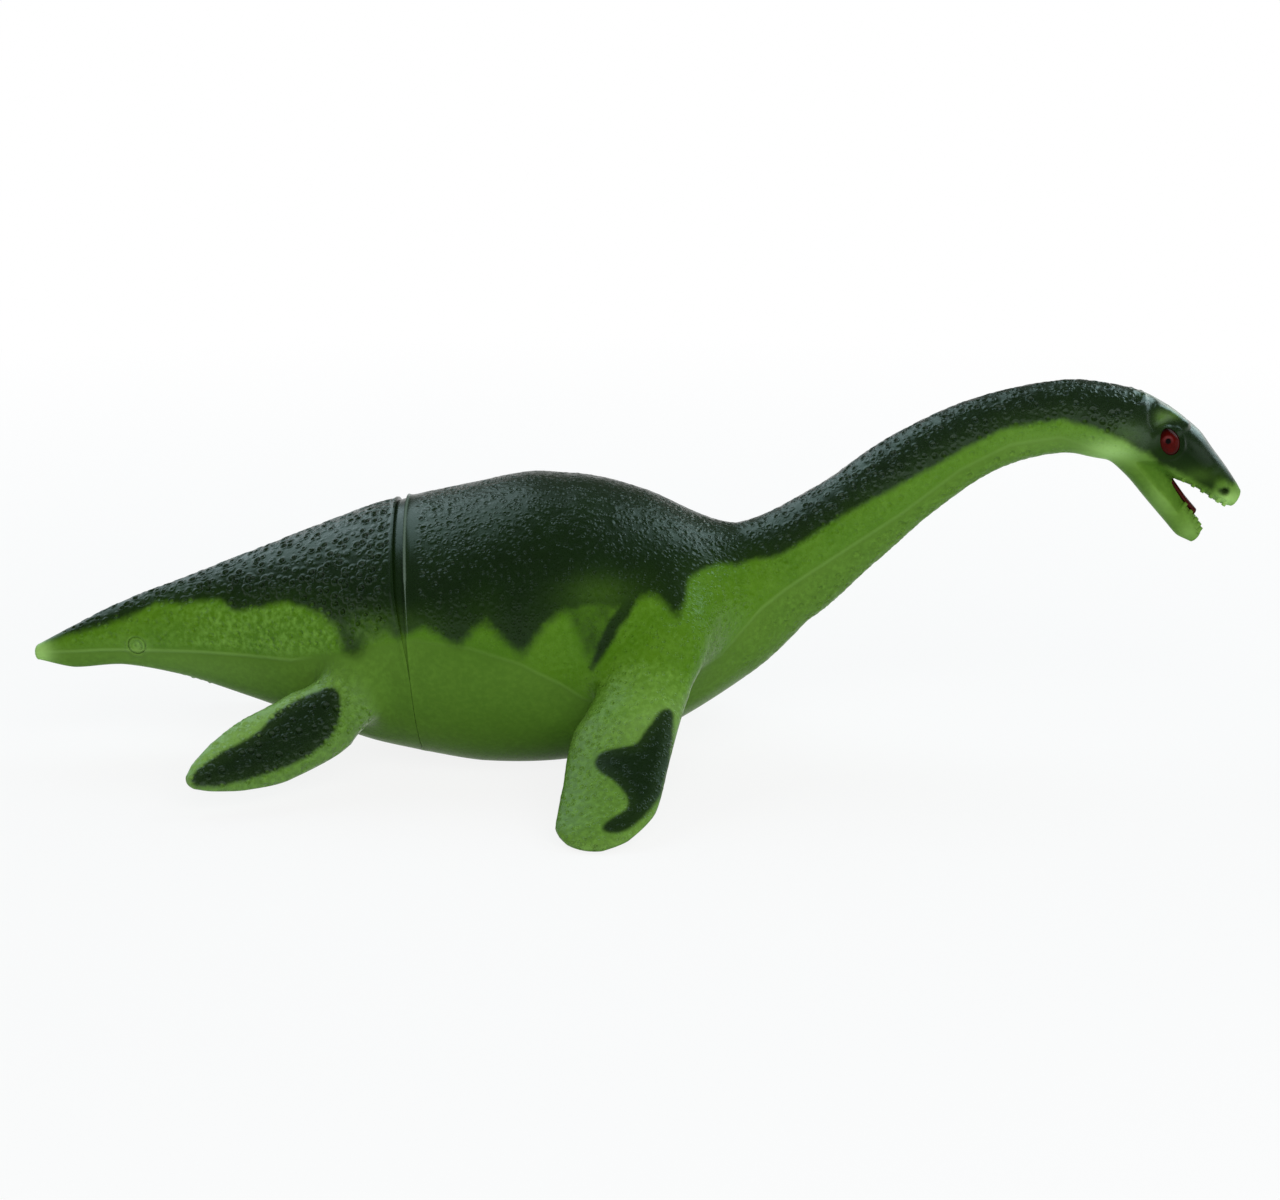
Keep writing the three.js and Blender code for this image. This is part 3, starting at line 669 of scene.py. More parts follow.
    # Relief finer than the mesh: the pits again, a faint skin grain and the parting ridge
    relief = pitted
    for height, times in ((grained, 0.6), (micro, 0.05), (ridged, 0.5)):
        relief = add(tree, "ShaderNodeMath", {"operation": "MULTIPLY_ADD"},
                     _0=height, _1=times, _2=relief).outputs[0]
    bump = add(tree, "ShaderNodeBump", Height=relief, Strength=0.8, Distance=0.5 * MM)
    surface = add(tree, "ShaderNodeBsdfPrincipled", Base_Color=colour, Roughness=gloss,
                  Normal=bump.outputs[0], IOR=1.45, Specular_IOR_Level=read["shine"],
                  Specular_Tint=(0.8, 1.0, 0.92, 1.0))
    add(tree, "ShaderNodeOutputMaterial", Surface=surface.outputs[0])
    return material


def face_out(piece):
    """Turns the faces of a closed piece outwards."""
    shape = bmesh.new()
    shape.from_mesh(piece.data)
    bmesh.ops.recalc_face_normals(shape, faces=shape.faces)
    shape.to_mesh(piece.data)
    shape.free()
    return piece


def turned(name, profile, steps=96):
    """A ring turned about the seam's axis: radius and place along the axis, from the front lip."""
    left = np.array([0, 1, 0])
    angles = np.linspace(0, 2 * np.pi, steps, endpoint=False)
    points, faces, count = [], [], len(profile)
    for angle in angles:
        out = SEAM_UP * math.cos(angle) + left * math.sin(angle)
        points += [SEAM_MIDDLE + out * r + SEAM_AXIS * s for r, s in profile]
    for k in range(steps):
        for c in range(count):
            d = (c + 1) % count
            e = (k + 1) % steps
            faces.append([k * count + c, k * count + d, e * count + d, e * count + c])
    return face_out(solid(name, points, faces))


def ball(middle, half, slope=0.0, rings=24, columns=36):
    """Ellipsoid that leans about the y axis by the slope, its top towards the head."""
    up = np.radians(np.linspace(-90, 90, rings + 1))[1:-1]
    turn = np.linspace(0, 2 * np.pi, columns, endpoint=False)
    unit = np.concatenate([
        np.stack([np.cos(a) * np.cos(turn), np.cos(a) * np.sin(turn), np.full(columns, np.sin(a))], axis=1)
        for a in up] + [[(0, 0, -1)], [(0, 0, 1)]])
    faces = []
    for r in range(len(up) - 1):
        for c in range(columns):
            d = (c + 1) % columns
            faces.append([r * columns + c, r * columns + d, (r + 1) * columns + d, (r + 1) * columns + c])
    south, last = len(up) * columns, (len(up) - 1) * columns
    for c in range(columns):
        d = (c + 1) % columns
        faces += [[south, d, c], [south + 1, last + c, last + d]]
    x, y, z = (unit * half).T
    cos, sin = math.cos(math.radians(slope)), math.sin(math.radians(slope))
    return np.stack([x * cos + z * sin, y, z * cos - x * sin], axis=1) + middle, faces


# Places along the body from which its rings lie closer: the neck and the head
NECK_START, HEAD_START = 12.4, 17.4
FRONT_FREE = 36         # how far from its root the front flipper leaves the body
body_run = smooth_run(body_stations(BODY_SECTIONS))
jaw_run = smooth_run(body_stations(JAW_SECTIONS))
hollow_form = loft(smooth_run(body_stations(BODY_SECTIONS, WALL)), [(2, HEAD_PLACE + 1, 4, 24, 24, 0)])
front_form = loft(body_run, [
    (SEAM_PLACE, NECK_START, 0.85, 196, 56, 12),
    (NECK_START, HEAD_START, 0.65, 80, 36, 12),
    (HEAD_START, SNOUT_PLACE, 0.5, 70, 46, 20),
], end_dome=1.2)
jaw_form = loft(jaw_run, [(0, len(JAW_SECTIONS) - 1, 0.6, 30, 30, 0)], end_dome=1.0)
front_stations, front_frame = flipper_stations(FRONT_FLIPPER, FRONT_CHORD, FRONT_FREE)
right_limb = loft(smooth_run(front_stations), [(0, len(FRONT_FLIPPER) - 1, 1.05, 32, 28, 0)],
                  end_dome=1.2, pointed=True)
left_limb = mirrored(*right_limb)
front_skin = solid("front_vinyl", *front_form)
front_forms = [front_form, jaw_form, right_limb, left_limb]
cut(front_skin, "UNION", *(solid("form", *form) for form in front_forms[1:]))
soften(front_skin, [front_form, right_limb, left_limb], reach=17, rounds=150)
soften(front_skin, [front_form, jaw_form], reach=7, rounds=40,
       where=lambda points: np.interp(points[:, 0], [193, 203], [1, 0.12]))

# Face relief in the side view: line of x and z, width and height in mm
EYE = np.array([206.0, 8.6, 104.1])
EYE_HALF, EYE_SLOPE = np.array([3.5, 3.2, 4.6]), -26
FACE_RELIEF = [
    ([(202.6, 114.8), (206.9, 112.8), (209.8, 110.8), (212, 109)], 1.2, 1.5),
    ([(201, 115), (200.6, 111.5), (201.6, 109), (204, 109.6), (207, 110)], 1.7, -1.2),
    ([(198.6, 115), (197.8, 110), (198.6, 105.5), (197, 102)], 2.2, 0.5),
    ([(196.2, 117.3), (197.4, 117.1)], 1.2, -1.8),
    ([(186.8, 108.3), (192.1, 105.2), (196.2, 104)], 0.8, -0.8),
    ([(210.5, 106), (215, 101.5), (219.5, 96)], 1.6, -0.6),
    ([(210, 92.8), (219, 88.4), (226.5, 84.8)], 0.9, 0.4),
    ([(222.8, 90.6), (224.2, 89.8)], 1.5, 0.9),
    ([(225.2, 87.8), (226, 87.3)], 0.7, -1.2),
]
EAR, EAR_RADIUS, LID_RADIUS = (196.8, 117.4), 2.2, 5
points, normals = places_of(front_skin.data), normals_of(front_skin.data)
head = np.flatnonzero(points[:, 0] > 180)
face = points[head]
facing = np.abs(normals[head, 1])
lift = sum(high * np.exp(-(line_distance(face, line) / wide) ** 2) for line, wide, high in FACE_RELIEF)
from_eye = np.hypot(face[:, 0] - EYE[0], face[:, 2] - EYE[2])
lift += 0.5 * np.exp(-((from_eye - LID_RADIUS) / 0.7) ** 2)
from_ear = np.hypot(face[:, 0] - EAR[0], face[:, 2] - EAR[1])
lift += 0.8 * np.exp(-((from_ear - EAR_RADIUS) / 0.6) ** 2)
lift -= 0.9 * np.clip(inside_distance(face[:, [0, 2]], CHEEK) / 1.8 + 0.4, 0, 1)
points[head] += normals[head] * (lift * (0.35 + 0.65 * facing) * (np.abs(face[:, 1]) > 2))[:, None]
# Raised lip at the seam, lower down the side
from_lip = (points - SEAM_MIDDLE) @ SEAM_AXIS
rise = 0.55 * np.exp(-(from_lip / 0.7) ** 2) * (np.hypot(points[:, 1], points[:, 2] - SEAM_Z) > 35)
rise *= np.clip((points[:, 2] - 30) / 25, 0.1, 1)
outward = points - SEAM_MIDDLE - np.outer(from_lip, SEAM_AXIS)
points += outward / np.maximum(np.linalg.norm(outward, axis=1), 1)[:, None] * rise[:, None]
points[:, 2] = np.maximum(points[:, 2], 0)
move_to(front_skin.data, points)

dress(front_skin, front_form, front_frame, FRONT_PATCH)
vinyl_material = vinyl()
pebbles = pebble_tree()
PRESSED = {"Pit Depth": 0.45 * MM, "Grain Depth": 0.22 * MM, "Material": vinyl_material}
through_nodes(front_skin, pebbles, **PRESSED)

# Hollow inside and the plug: radii of land, groove, bead and bore, and places along the seam's axis
LAND, LAND_END, NECK, BEAD, BORE = 40.35, 37.8, 31.5, 33.5, 28.9
PLUG_TIP, BEAD_BACK, LAND_FOOT, LAND_TOP = -12.8, -9.5, -6.5, 2
PLUG = [
    (BORE, PLUG_TIP), (BEAD - 1.2, PLUG_TIP), (BEAD, PLUG_TIP + 1.2), (BEAD, BEAD_BACK),
    (NECK, BEAD_BACK), (NECK, LAND_FOOT), (LAND_END, LAND_FOOT), (LAND - 0.95, -3.5), (LAND - 0.35, -2),
    (LAND, 0), (LAND, LAND_TOP), (LAND - WALL, LAND_TOP), (LAND - WALL, 0),
    (LAND_END - WALL, WALL + LAND_FOOT), (BORE, WALL + LAND_FOOT),
]
cut(front_skin, "DIFFERENCE", solid("mouth", *loft(
    smooth_run(body_stations(MOUTH_SECTIONS)), [(0, len(MOUTH_SECTIONS) - 1, 0.8, 20, 20, 0)])))
# Teeth: a row of blunt cones on each lip, moulded with the casting. A row's run, its first and last
# place, its count, and the way it faces
TOOTH_RADIUS, TOOTH_HEIGHT, LIP_SIDE, LIP_UP = 1.0, 1.15, 0.64, 0.76
TOOTH_ROWS = [(body_run, HEAD_PLACE + 3.4, HEAD_PLACE + 6, 6, -1), (jaw_run, 3, 4.8, 5, 1)]
POCKET_GAP = 0.12       # round the eye beads


def tooth_tree():
    """Stands a blunt cone on each point, along the point's own direction."""
    tree, given = new_tree("tooth rows", "Radius", "Height")
    top, deep = (
        add(tree, "ShaderNodeMath", {"operation": "MULTIPLY"}, _0=given[name], _1=times).outputs[0]
        for name, times in (("Radius", 0.6), ("Height", 2.0)))
    cone = add(tree, "GeometryNodeMeshCone", Vertices=14, Radius_Top=top,
               Radius_Bottom=given["Radius"], Depth=deep)
    point = add(tree, "GeometryNodeInputNamedAttribute", {"data_type": "FLOAT_VECTOR"}, Name="point")
    turn = add(tree, "FunctionNodeAlignRotationToVector", {"axis": "Z"}, Vector=point.outputs["Attribute"])
    rows = add(tree, "GeometryNodeInstanceOnPoints", Points=given["Geometry"],
               Instance=cone.outputs["Mesh"], Rotation=turn.outputs[0])
    return end_tree(tree, given, rows.outputs[0])


feet, aims = [], []
for run, first, last, count, facing in TOOTH_ROWS:
    for middle, across, up in run(np.linspace(first, last, count)):
        aim = up / np.linalg.norm(up) * facing
        for side in (-1, 1):
            feet.append(middle + across * LIP_SIDE * side + up * facing * LIP_UP - aim * TOOTH_HEIGHT)
            aims.append(aim)
teeth = solid("teeth", feet, [])
teeth.data.attributes.new("point", "FLOAT_VECTOR", "POINT").data.foreach_set(
    "vector", np.array(aims, np.float32).ravel())
through_nodes(teeth, tooth_tree(), **{
    "Radius": TOOTH_RADIUS * MM, "Height": TOOTH_HEIGHT * MM, "Material": vinyl_material})
cut(front_skin, "UNION", teeth)
cut(front_skin, "DIFFERENCE", solid("hollow", *hollow_form))
cut(front_skin, "UNION", turned("plug", PLUG))
for side in (-1, 1):
    pocket = ball(EYE * (1, side, 1), EYE_HALF + POCKET_GAP, EYE_SLOPE)
    cut(front_skin, "DIFFERENCE", solid("pocket", *pocket))
settle(front_skin, vinyl_material, front_form, front_frame, FRONT_PATCH)
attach(front_skin, "front_body")
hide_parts("front_casting")

# Eyes: two red enamelled beads pressed into pockets in the head, each leaning forward, with a lid
# line round the iris and a pupil set a little back and up.
PUPIL = np.array([-0.5, 0.8])        # from the middle of the eye, in the side view
IRIS, LID, PUPIL_RADIUS = 1.9, 2.9, 1.1


def eye_enamel(name, middle):
    """Dipped enamel, dark red and glossy: a black pupil, a painted pink highlight on the upper half of the
    iris and a dark rim in the pocket.
    """
    material, tree = new_material(name)
    place = add(tree, "ShaderNodeTexCoord").outputs["Object"]
    height = add(tree, "ShaderNodeSeparateXYZ", Vector=place).outputs[2]
    flat = add(tree, "ShaderNodeVectorMath", {"operation": "MULTIPLY"}, _0=place, _1=(1, 0, 1)).outputs[0]
    from_middle, from_pupil = (
        add(tree, "ShaderNodeVectorMath", {"operation": "DISTANCE"}, _0=flat,
            _1=((middle[0] + x) * MM, 0, (middle[2] + z) * MM)).outputs["Value"]
        for x, z in ((0, 0), PUPIL))
    iris, above, pupil, rim = (
        add(tree, "ShaderNodeMapRange", Value=value, From_Min=start * MM, From_Max=end * MM).outputs[0]
        for value, start, end in (
            (from_pupil, IRIS, 0.7 * IRIS), (height, middle[2], middle[2] + 2),
            (from_pupil, PUPIL_RADIUS, PUPIL_RADIUS - 0.4), (from_middle, 2.6, 4.4)))
    # Painted highlight: paler pink on the upper half of the iris, as if the enamel caught the light there
    ring = add(tree, "ShaderNodeMath", {"operation": "MULTIPLY"}, _0=iris, _1=above).outputs[0]
    stain = add(tree, "ShaderNodeTexNoise", Vector=place, Scale=1 / (1.2 * MM), Detail=2.0)
    colour = add(tree, "ShaderNodeMix", {"data_type": "RGBA"}, _0=stain.outputs["Fac"],
                 _6=linear("#3a0603"), _7=linear("#540c07")).outputs[2]
    for share, layer in ((ring, "#6a3030"), (pupil, "#050303"), (rim, "#120503")):
        colour = add(tree, "ShaderNodeMix", {"data_type": "RGBA"}, _0=share,
                     _6=colour, _7=linear(layer)).outputs[2]
    surface = add(tree, "ShaderNodeBsdfPrincipled", Base_Color=colour, Roughness=0.2, IOR=1.5,
                  Specular_IOR_Level=0.05)
    add(tree, "ShaderNodeOutputMaterial", Surface=surface.outputs[0])
    return material


for side, name in ((-1, "right_eye"), (1, "left_eye")):
    middle = EYE * (1, side, 1)
    bead = solid(name + "_bead", *ball(middle, EYE_HALF, EYE_SLOPE, rings=48, columns=72))
    points, normals = places_of(bead.data), normals_of(bead.data)
    flat = points[:, [0, 2]] - middle[[0, 2]]
    from_pupil = np.linalg.norm(flat - PUPIL, axis=1)
    relief = sum(high * np.exp(-((from_pupil - radius) / wide) ** 2)
                 for radius, wide, high in ((IRIS, 0.4, 0.05), (LID, 0.4, -0.05), (0, 0.9, -0.06)))
    points += normals * (relief * (np.sign(points[:, 1] - middle[1]) == side))[:, None]
    move_to(bead.data, points)
    bead.data.shade_smooth()
    bead.data.materials.append(eye_enamel(name.replace("_", " ") + " enamel", middle))
    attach(bead, "front_body")
    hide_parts(name)

# Tongue: a thin strip along the floor of the mouth, grooved down its middle, laid in and brushed
# with dark red paint.
TONGUE_THICK, TONGUE_SHARE, GROOVE = 2.2, 0.62, 0.3
tongue_stations = []
for middle, across, up in body_stations(MOUTH_SECTIONS[:3]):
    rise = np.array(up) / np.linalg.norm(up)
    bed = np.array(middle) - up + rise * (FIT + TONGUE_THICK / 2)
    tongue_stations.append((bed, np.array(across) * TONGUE_SHARE, rise * TONGUE_THICK / 2))
tongue = solid("tongue_strip", *loft(smooth_run(tongue_stations), [(0, 2, 0.25, 24, 16, 0)], end_dome=0.4))
points, normals = places_of(tongue.data), normals_of(tongue.data)
groove = np.exp(-(points[:, 1] / 0.35) ** 2) * (normals[:, 0] > 0.2)
move_to(tongue.data, points - normals * (GROOVE * groove)[:, None])
tongue.data.shade_smooth()
# Brushed paint: dark red, half matt, with fine streaks
mouth_paint, tree = new_material("brushed mouth paint")
place = add(tree, "ShaderNodeTexCoord").outputs["Object"]
streak = add(tree, "ShaderNodeTexNoise", Vector=place, Scale=1 / (0.8 * MM), Detail=3.0)
red = add(tree, "ShaderNodeMix", {"data_type": "RGBA"}, _0=streak.outputs["Fac"],
          _6=linear("#2a0804"), _7=linear("#4a120b"))
brushed = add(tree, "ShaderNodeBump", Height=streak.outputs["Fac"], Strength=0.4, Distance=0.2 * MM)
surface = add(tree, "ShaderNodeBsdfPrincipled", Base_Color=red.outputs[2], Roughness=0.45,
              Normal=brushed.outputs[0], Specular_IOR_Level=0.15)
add(tree, "ShaderNodeOutputMaterial", Surface=surface.outputs[0])
tongue.data.materials.append(mouth_paint)
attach(tongue, "front_body")
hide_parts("tongue")

# Filling: loose polyester fibre pushed through the open plug and into the hind casting, a lumpy wad
# in each hollow that keeps the thin skin round.
LUMP, LUMP_DEPTH, WAD_VOXEL, FILL = 9.0, 2.2, 2.2, 0.7


def fibre():
    """Carded polyester: matt, off-white, with fine crossing strands about 0.3 mm apart."""
    material, tree = new_material("polyester fibre")
    place = add(tree, "ShaderNodeTexCoord").outputs["Object"]
    pulled = add(tree, "ShaderNodeMapping", Vector=place, Scale=(1, 4, 4))
    strand = add(tree, "ShaderNodeTexNoise", Vector=pulled.outputs[0], Scale=1 / (1.2 * MM), Detail=6.0,
                 Distortion=1.5)
    white = add(tree, "ShaderNodeMix", {"data_type": "RGBA"}, _0=strand.outputs["Fac"],
                _6=linear("#cfccc2"), _7=linear("#f4f2ec"))
    fluff = add(tree, "ShaderNodeBump", Height=strand.outputs["Fac"], Strength=0.8, Distance=1.0 * MM)
    surface = add(tree, "ShaderNodeBsdfPrincipled", Base_Color=white.outputs[2], Roughness=0.95,
                  Normal=fluff.outputs[0], Sheen_Weight=0.3)
    add(tree, "ShaderNodeOutputMaterial", Surface=surface.outputs[0])
    return material


def wad_tree():
    """Dents a wad inwards in lumps, so that it stays in its hollow."""
    tree, given = new_tree("lumpy wad", "Lump", "Depth")
    place = add(tree, "GeometryNodeInputPosition").outputs[0]
    scale = add(tree, "ShaderNodeMath", {"operation": "DIVIDE"}, _0=1.0, _1=given["Lump"])
    lumps = add(tree, "ShaderNodeTexVoronoi", {"feature": "SMOOTH_F1"}, Vector=place,
                Scale=scale.outputs[0], Smoothness=0.6)
    inwards = lumps.outputs["Distance"]
    for times in (given["Depth"], -1.0):
        inwards = add(tree, "ShaderNodeMath", {"operation": "MULTIPLY"}, _0=inwards, _1=times).outputs[0]
    offset = add(tree, "ShaderNodeVectorMath", {"operation": "SCALE"},
                 Vector=add(tree, "GeometryNodeInputNormal").outputs[0], Scale=inwards)
    moved = add(tree, "GeometryNodeSetPosition", Geometry=given["Geometry"], Offset=offset.outputs[0])
    return end_tree(tree, given, moved.outputs[0])


fibre_material, wads = fibre(), wad_tree()
for name, body in (("neck_filling", "front_body"), ("chest_filling", "front_body"),
                   ("hind_filling", "rear_body")):
    wad = bpy.data.objects.new(name + "_wad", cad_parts[name].data.copy())
    bpy.context.scene.collection.objects.link(wad)
    shape = bmesh.new()
    shape.from_mesh(wad.data)
    bmesh.ops.remove_doubles(shape, verts=shape.verts, dist=0.01 * MM)
    shape.to_mesh(wad.data)
    shape.free()
    remesh = wad.modifiers.new("wad", "REMESH")
    remesh.mode, remesh.voxel_size = "VOXEL", WAD_VOXEL * MM
    plain_mesh(wad)
    wad.data.materials.clear()
    through_nodes(wad, wads, **{"Lump": LUMP * MM, "Depth": LUMP_DEPTH * MM, "Material": fibre_material})
    wad.data.shade_smooth()
    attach(wad, body)
    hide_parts(name)

# Hind casting: hind body, tail and rear flippers in the same vinyl, slush-moulded in one hollow skin
# and pushed on over the bead, so that it turns on the plug's land. Flipper of the right side, root to
# tip: x, y, z, half chord, half thickness
REAR_FLIPPER = [
    (-38, -22, 34, 13, 12),
    (-48, -31, 28.5, 11, 9),
    (-59.4, -39.9, 21.6, 12.2, 6),
    (-73.4, -49.9, 16.3, 12, 4),
    (-84.2, -57.7, 13.2, 9, 2.8),
    (-91.5, -62.5, 11.2, 5, 2),
    (-94.5, -64.5, 10.4, 2.4, 1.3),
]
REAR_CHORD = (0.6, -0.41, -0.69)
REAR_FREE = 10          # how far from its root the rear flipper leaves the body
THIGH, THIGH_HALF, THIGH_SLOPE = (-45.2, -31.8, 36.4), (11, 7, 15), 30
# Patch of paint on the right rear flipper
REAR_PATCH = [
    (-95.5, -66.5, 11), (-84, -57.5, 17.5), (-73.7, -50.9, 21.4), (-70.2, -45.5, 25.8),
    (-62.4, -40.7, 29.5), (-55.2, -38.9, 32.2), (-52.3, -40, 30.9), (-53, -45, 22),
    (-59, -49.5, 16.5), (-69, -55.5, 13), (-78, -60, 11.5), (-84, -63, 10.5),
]
rear_form = loft(body_run, [
    (0, 3, 0.6, 80, 30, 10),
    (3, SEAM_PLACE, 0.6, 230, 62, 8),
], start_dome=1.5)
rear_stations, rear_frame = flipper_stations(REAR_FLIPPER, REAR_CHORD, REAR_FREE)
right_paddle = loft(smooth_run(rear_stations), [(0, len(REAR_FLIPPER) - 1, 0.9, 30, 28, 0)],
                    end_dome=1.0, pointed=True)
left_paddle = mirrored(*right_paddle)
rear_skin = solid("hind_vinyl", *rear_form)
right_thigh = ball(THIGH, THIGH_HALF, THIGH_SLOPE)
left_thigh = mirrored(*right_thigh)
rear_limbs = [right_paddle, left_paddle, right_thigh, left_thigh]
cut(rear_skin, "UNION", *(solid("form", *form) for form in rear_limbs))
soften(rear_skin, [rear_form] + rear_limbs, reach=10, rounds=90,
       where=lambda points: np.clip((-(points - SEAM_MIDDLE) @ SEAM_AXIS - 4) / 7, 0, 1))


def tail_side(place, reach=200.0):
    """Block on the tail side of a plane across the seam's axis."""
    left = np.array([0, 1, 0])
    start = SEAM_MIDDLE + SEAM_AXIS * place
    corners = [start + SEAM_AXIS * a + left * b + SEAM_UP * c
               for a in (-reach, 0) for b in (-reach, reach) for c in (-reach, reach)]
    faces = [[0, 1, 3, 2], [4, 6, 7, 5], [0, 4, 5, 1], [2, 3, 7, 6], [0, 2, 6, 4], [1, 5, 7, 3]]
    return solid("block", corners, faces)


LIP_GAP, LIP_OPEN = 0.15, 3.3


def lip_draw(angle):
    """How far the hind lip draws back from the front one, by the angle from the top of the seam."""
    share = np.clip((np.radians(105) - np.abs(angle)) / np.radians(50), 0, 1)
    return LIP_GAP + (LIP_OPEN - LIP_GAP) * share * share * (3 - 2 * share)


def lip_block(reach=80.0, depth=200.0, steps=96):
    """Block on the tail side of the hind lip."""
    angles = np.linspace(0, 2 * np.pi, steps, endpoint=False)
    out = np.outer(np.cos(angles), SEAM_UP) + np.outer(np.sin(angles), (0, 1, 0))
    turned_by = (angles + np.pi) % (2 * np.pi) - np.pi
    draw = LIP_GAP + (lip_draw(turned_by) - LIP_GAP) * reach / SEAM_RADIUS
    lip = SEAM_MIDDLE + out * reach - np.outer(draw, SEAM_AXIS)
    back = SEAM_MIDDLE + out * reach - depth * SEAM_AXIS
    middles = [SEAM_MIDDLE - LIP_GAP * SEAM_AXIS, SEAM_MIDDLE - depth * SEAM_AXIS]
    faces = []
    for k in range(steps):
        e = (k + 1) % steps
        faces += [[2 * steps, e, k], [k, e, steps + e, steps + k], [2 * steps + 1, steps + k, steps + e]]
    return face_out(solid("block", np.concatenate([lip, back, middles]), faces))


# Raised lip at the seam, lower down the side
points, normals = places_of(rear_skin.data), normals_of(rear_skin.data)
along = (points - SEAM_MIDDLE) @ SEAM_AXIS
outward = points - SEAM_MIDDLE - np.outer(along, SEAM_AXIS)
distance = np.linalg.norm(outward, axis=1)
behind = np.maximum(-lip_draw(np.arctan2(outward[:, 1], outward @ SEAM_UP)) - along, 0)
rise = 0.5 * np.exp(-((behind - 0.5) / 0.7) ** 2) * (distance > 30)
rise *= np.clip((points[:, 2] - 30) / 25, 0.1, 1)
points += outward / np.maximum(distance, 1)[:, None] * rise[:, None]
# Specks of flash under the tail: x, height and width
FLASH = [(-105.5, 0.5, 1.0), (-102.8, 0.8, 0.9), (-100.4, 0.6, 0.9), (-97.5, 0.9, 0.8)]
for at, high, wide in FLASH:
    speck = high * np.exp(-((points[:, 0] - at) / wide) ** 2 - (points[:, 1] / 1.3) ** 2)
    points += normals * (speck * (normals[:, 2] < -0.3))[:, None]
# Raised rim of the vent
VENT, VENT_RADIUS = (-119.1, 38.3), 2.8
from_vent = np.hypot(points[:, 0] - VENT[0], points[:, 2] - VENT[1])
rim = 0.55 * np.exp(-((from_vent - VENT_RADIUS - 0.7) / 0.55) ** 2) * (points[:, 1] < 0)
points += normals * rim[:, None]
points[:, 2] = np.maximum(points[:, 2], 0)
move_to(rear_skin.data, points)
cut(rear_skin, "INTERSECT", lip_block())
dress(rear_skin, rear_form, rear_frame, REAR_PATCH)
through_nodes(rear_skin, pebbles, **PRESSED)
# Hollow inside, and the socket that fits the plug
SOCKET_LIP, SOCKET_OUT = BEAD_BACK + FIT, 40
SOCKET = [
    (0.01, PLUG_TIP - FIT), (BEAD + FIT, PLUG_TIP - FIT), (BEAD + FIT, SOCKET_LIP), (NECK + FIT, SOCKET_LIP),
    (NECK + FIT, LAND_FOOT - FIT), (LAND_END + LIP_GAP, LAND_FOOT - FIT), (LAND - 0.95 + LIP_GAP, -3.6),
    (LAND - 0.35 + LIP_GAP, -2), (LAND + LIP_GAP, 0), (LAND + LIP_GAP, SOCKET_OUT), (0.01, SOCKET_OUT),
]
rear_hollow = cut(solid("hollow", *hollow_form), "INTERSECT", tail_side(SOCKET_LIP))
cut(rear_skin, "DIFFERENCE", rear_hollow, turned("socket", SOCKET))


def peg(radius, start, end, middle, steps=48):
    """Round rod across the tail, from one y to another."""
    turn = np.linspace(0, 2 * np.pi, steps, endpoint=False)
    ring = np.stack([radius * np.cos(turn), np.zeros(steps), radius * np.sin(turn)], axis=1)
    points = np.concatenate([ring + (middle[0], start, middle[1]), ring + (middle[0], end, middle[1])])
    faces = [[k, steps + k, steps + (k + 1) % steps, (k + 1) % steps] for k in range(steps)]
    faces += [list(range(steps)), list(range(2 * steps - 1, steps - 1, -1))]
    return solid("peg", points, faces)


cut(rear_skin, "DIFFERENCE", peg(VENT_RADIUS + LIP_GAP, -41, 0, VENT))
settle(rear_skin, vinyl_material, rear_form, rear_frame, REAR_PATCH)
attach(rear_skin, "rear_body")
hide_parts("rear_casting")

# Tail vent plug: a short vinyl peg that closes the hole left by the mould's vent. It is pressed in
# flush with the skin, and its end shows a low ring with a dimple.
tail_form = loft(body_run, [(0, 5, 0.8, 60, 40, 0)])
vent_plug = cut(peg(VENT_RADIUS, -14, 0, VENT), "INTERSECT", solid("tail", *tail_form))
inside_run = smooth_run(body_stations(BODY_SECTIONS, WALL + FIT))
inside_form = loft(inside_run, [(2, SEAM_PLACE, 2, 40, 40, 0)])
cut(vent_plug, "DIFFERENCE", solid("inside", *inside_form))
vent_plug.name = "vent_peg"
shape = bmesh.new()
shape.from_mesh(vent_plug.data)
bmesh.ops.subdivide_edges(shape, edges=shape.edges, cuts=2, use_grid_fill=True)
bmesh.ops.triangulate(shape, faces=shape.faces)
shape.to_mesh(vent_plug.data)
shape.free()
points = places_of(vent_plug.data)
from_middle = np.hypot(points[:, 0] - VENT[0], points[:, 2] - VENT[1])
outside = points[:, 1] < -6.5
RING, DIMPLE = 2.2, 1.0
relief = 0.5 * np.exp(-((from_middle - RING) / 0.5) ** 2) - 0.4 * np.exp(-((from_middle - DIMPLE) / 0.6) ** 2)
points[:, 1] -= np.where(outside, relief, 0)
move_to(vent_plug.data, points)
vent_plug.data.attributes.new("mould_place", "FLOAT_VECTOR", "POINT")
settle(vent_plug, vinyl_material, rear_form, rear_frame, REAR_PATCH)
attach(vent_plug, "rear_body")
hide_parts("tail_vent_plug")

# Camera, floor and light of a plain product picture: a long lens a little above the toy's right side,
# white paper under it, two cool windows behind it and a soft fill from the front.
camera_data = bpy.data.cameras.new("camera")
camera_data.sensor_fit = "HORIZONTAL"
camera_data.sensor_width = 36
camera_data.lens = 79.1
camera = bpy.data.objects.new("camera", camera_data)
camera.location = (0.041, -0.8733, 0.2688)
camera.rotation_euler = (math.radians(76), 0, 0)
bpy.context.scene.collection.objects.link(camera)
bpy.context.scene.camera = camera

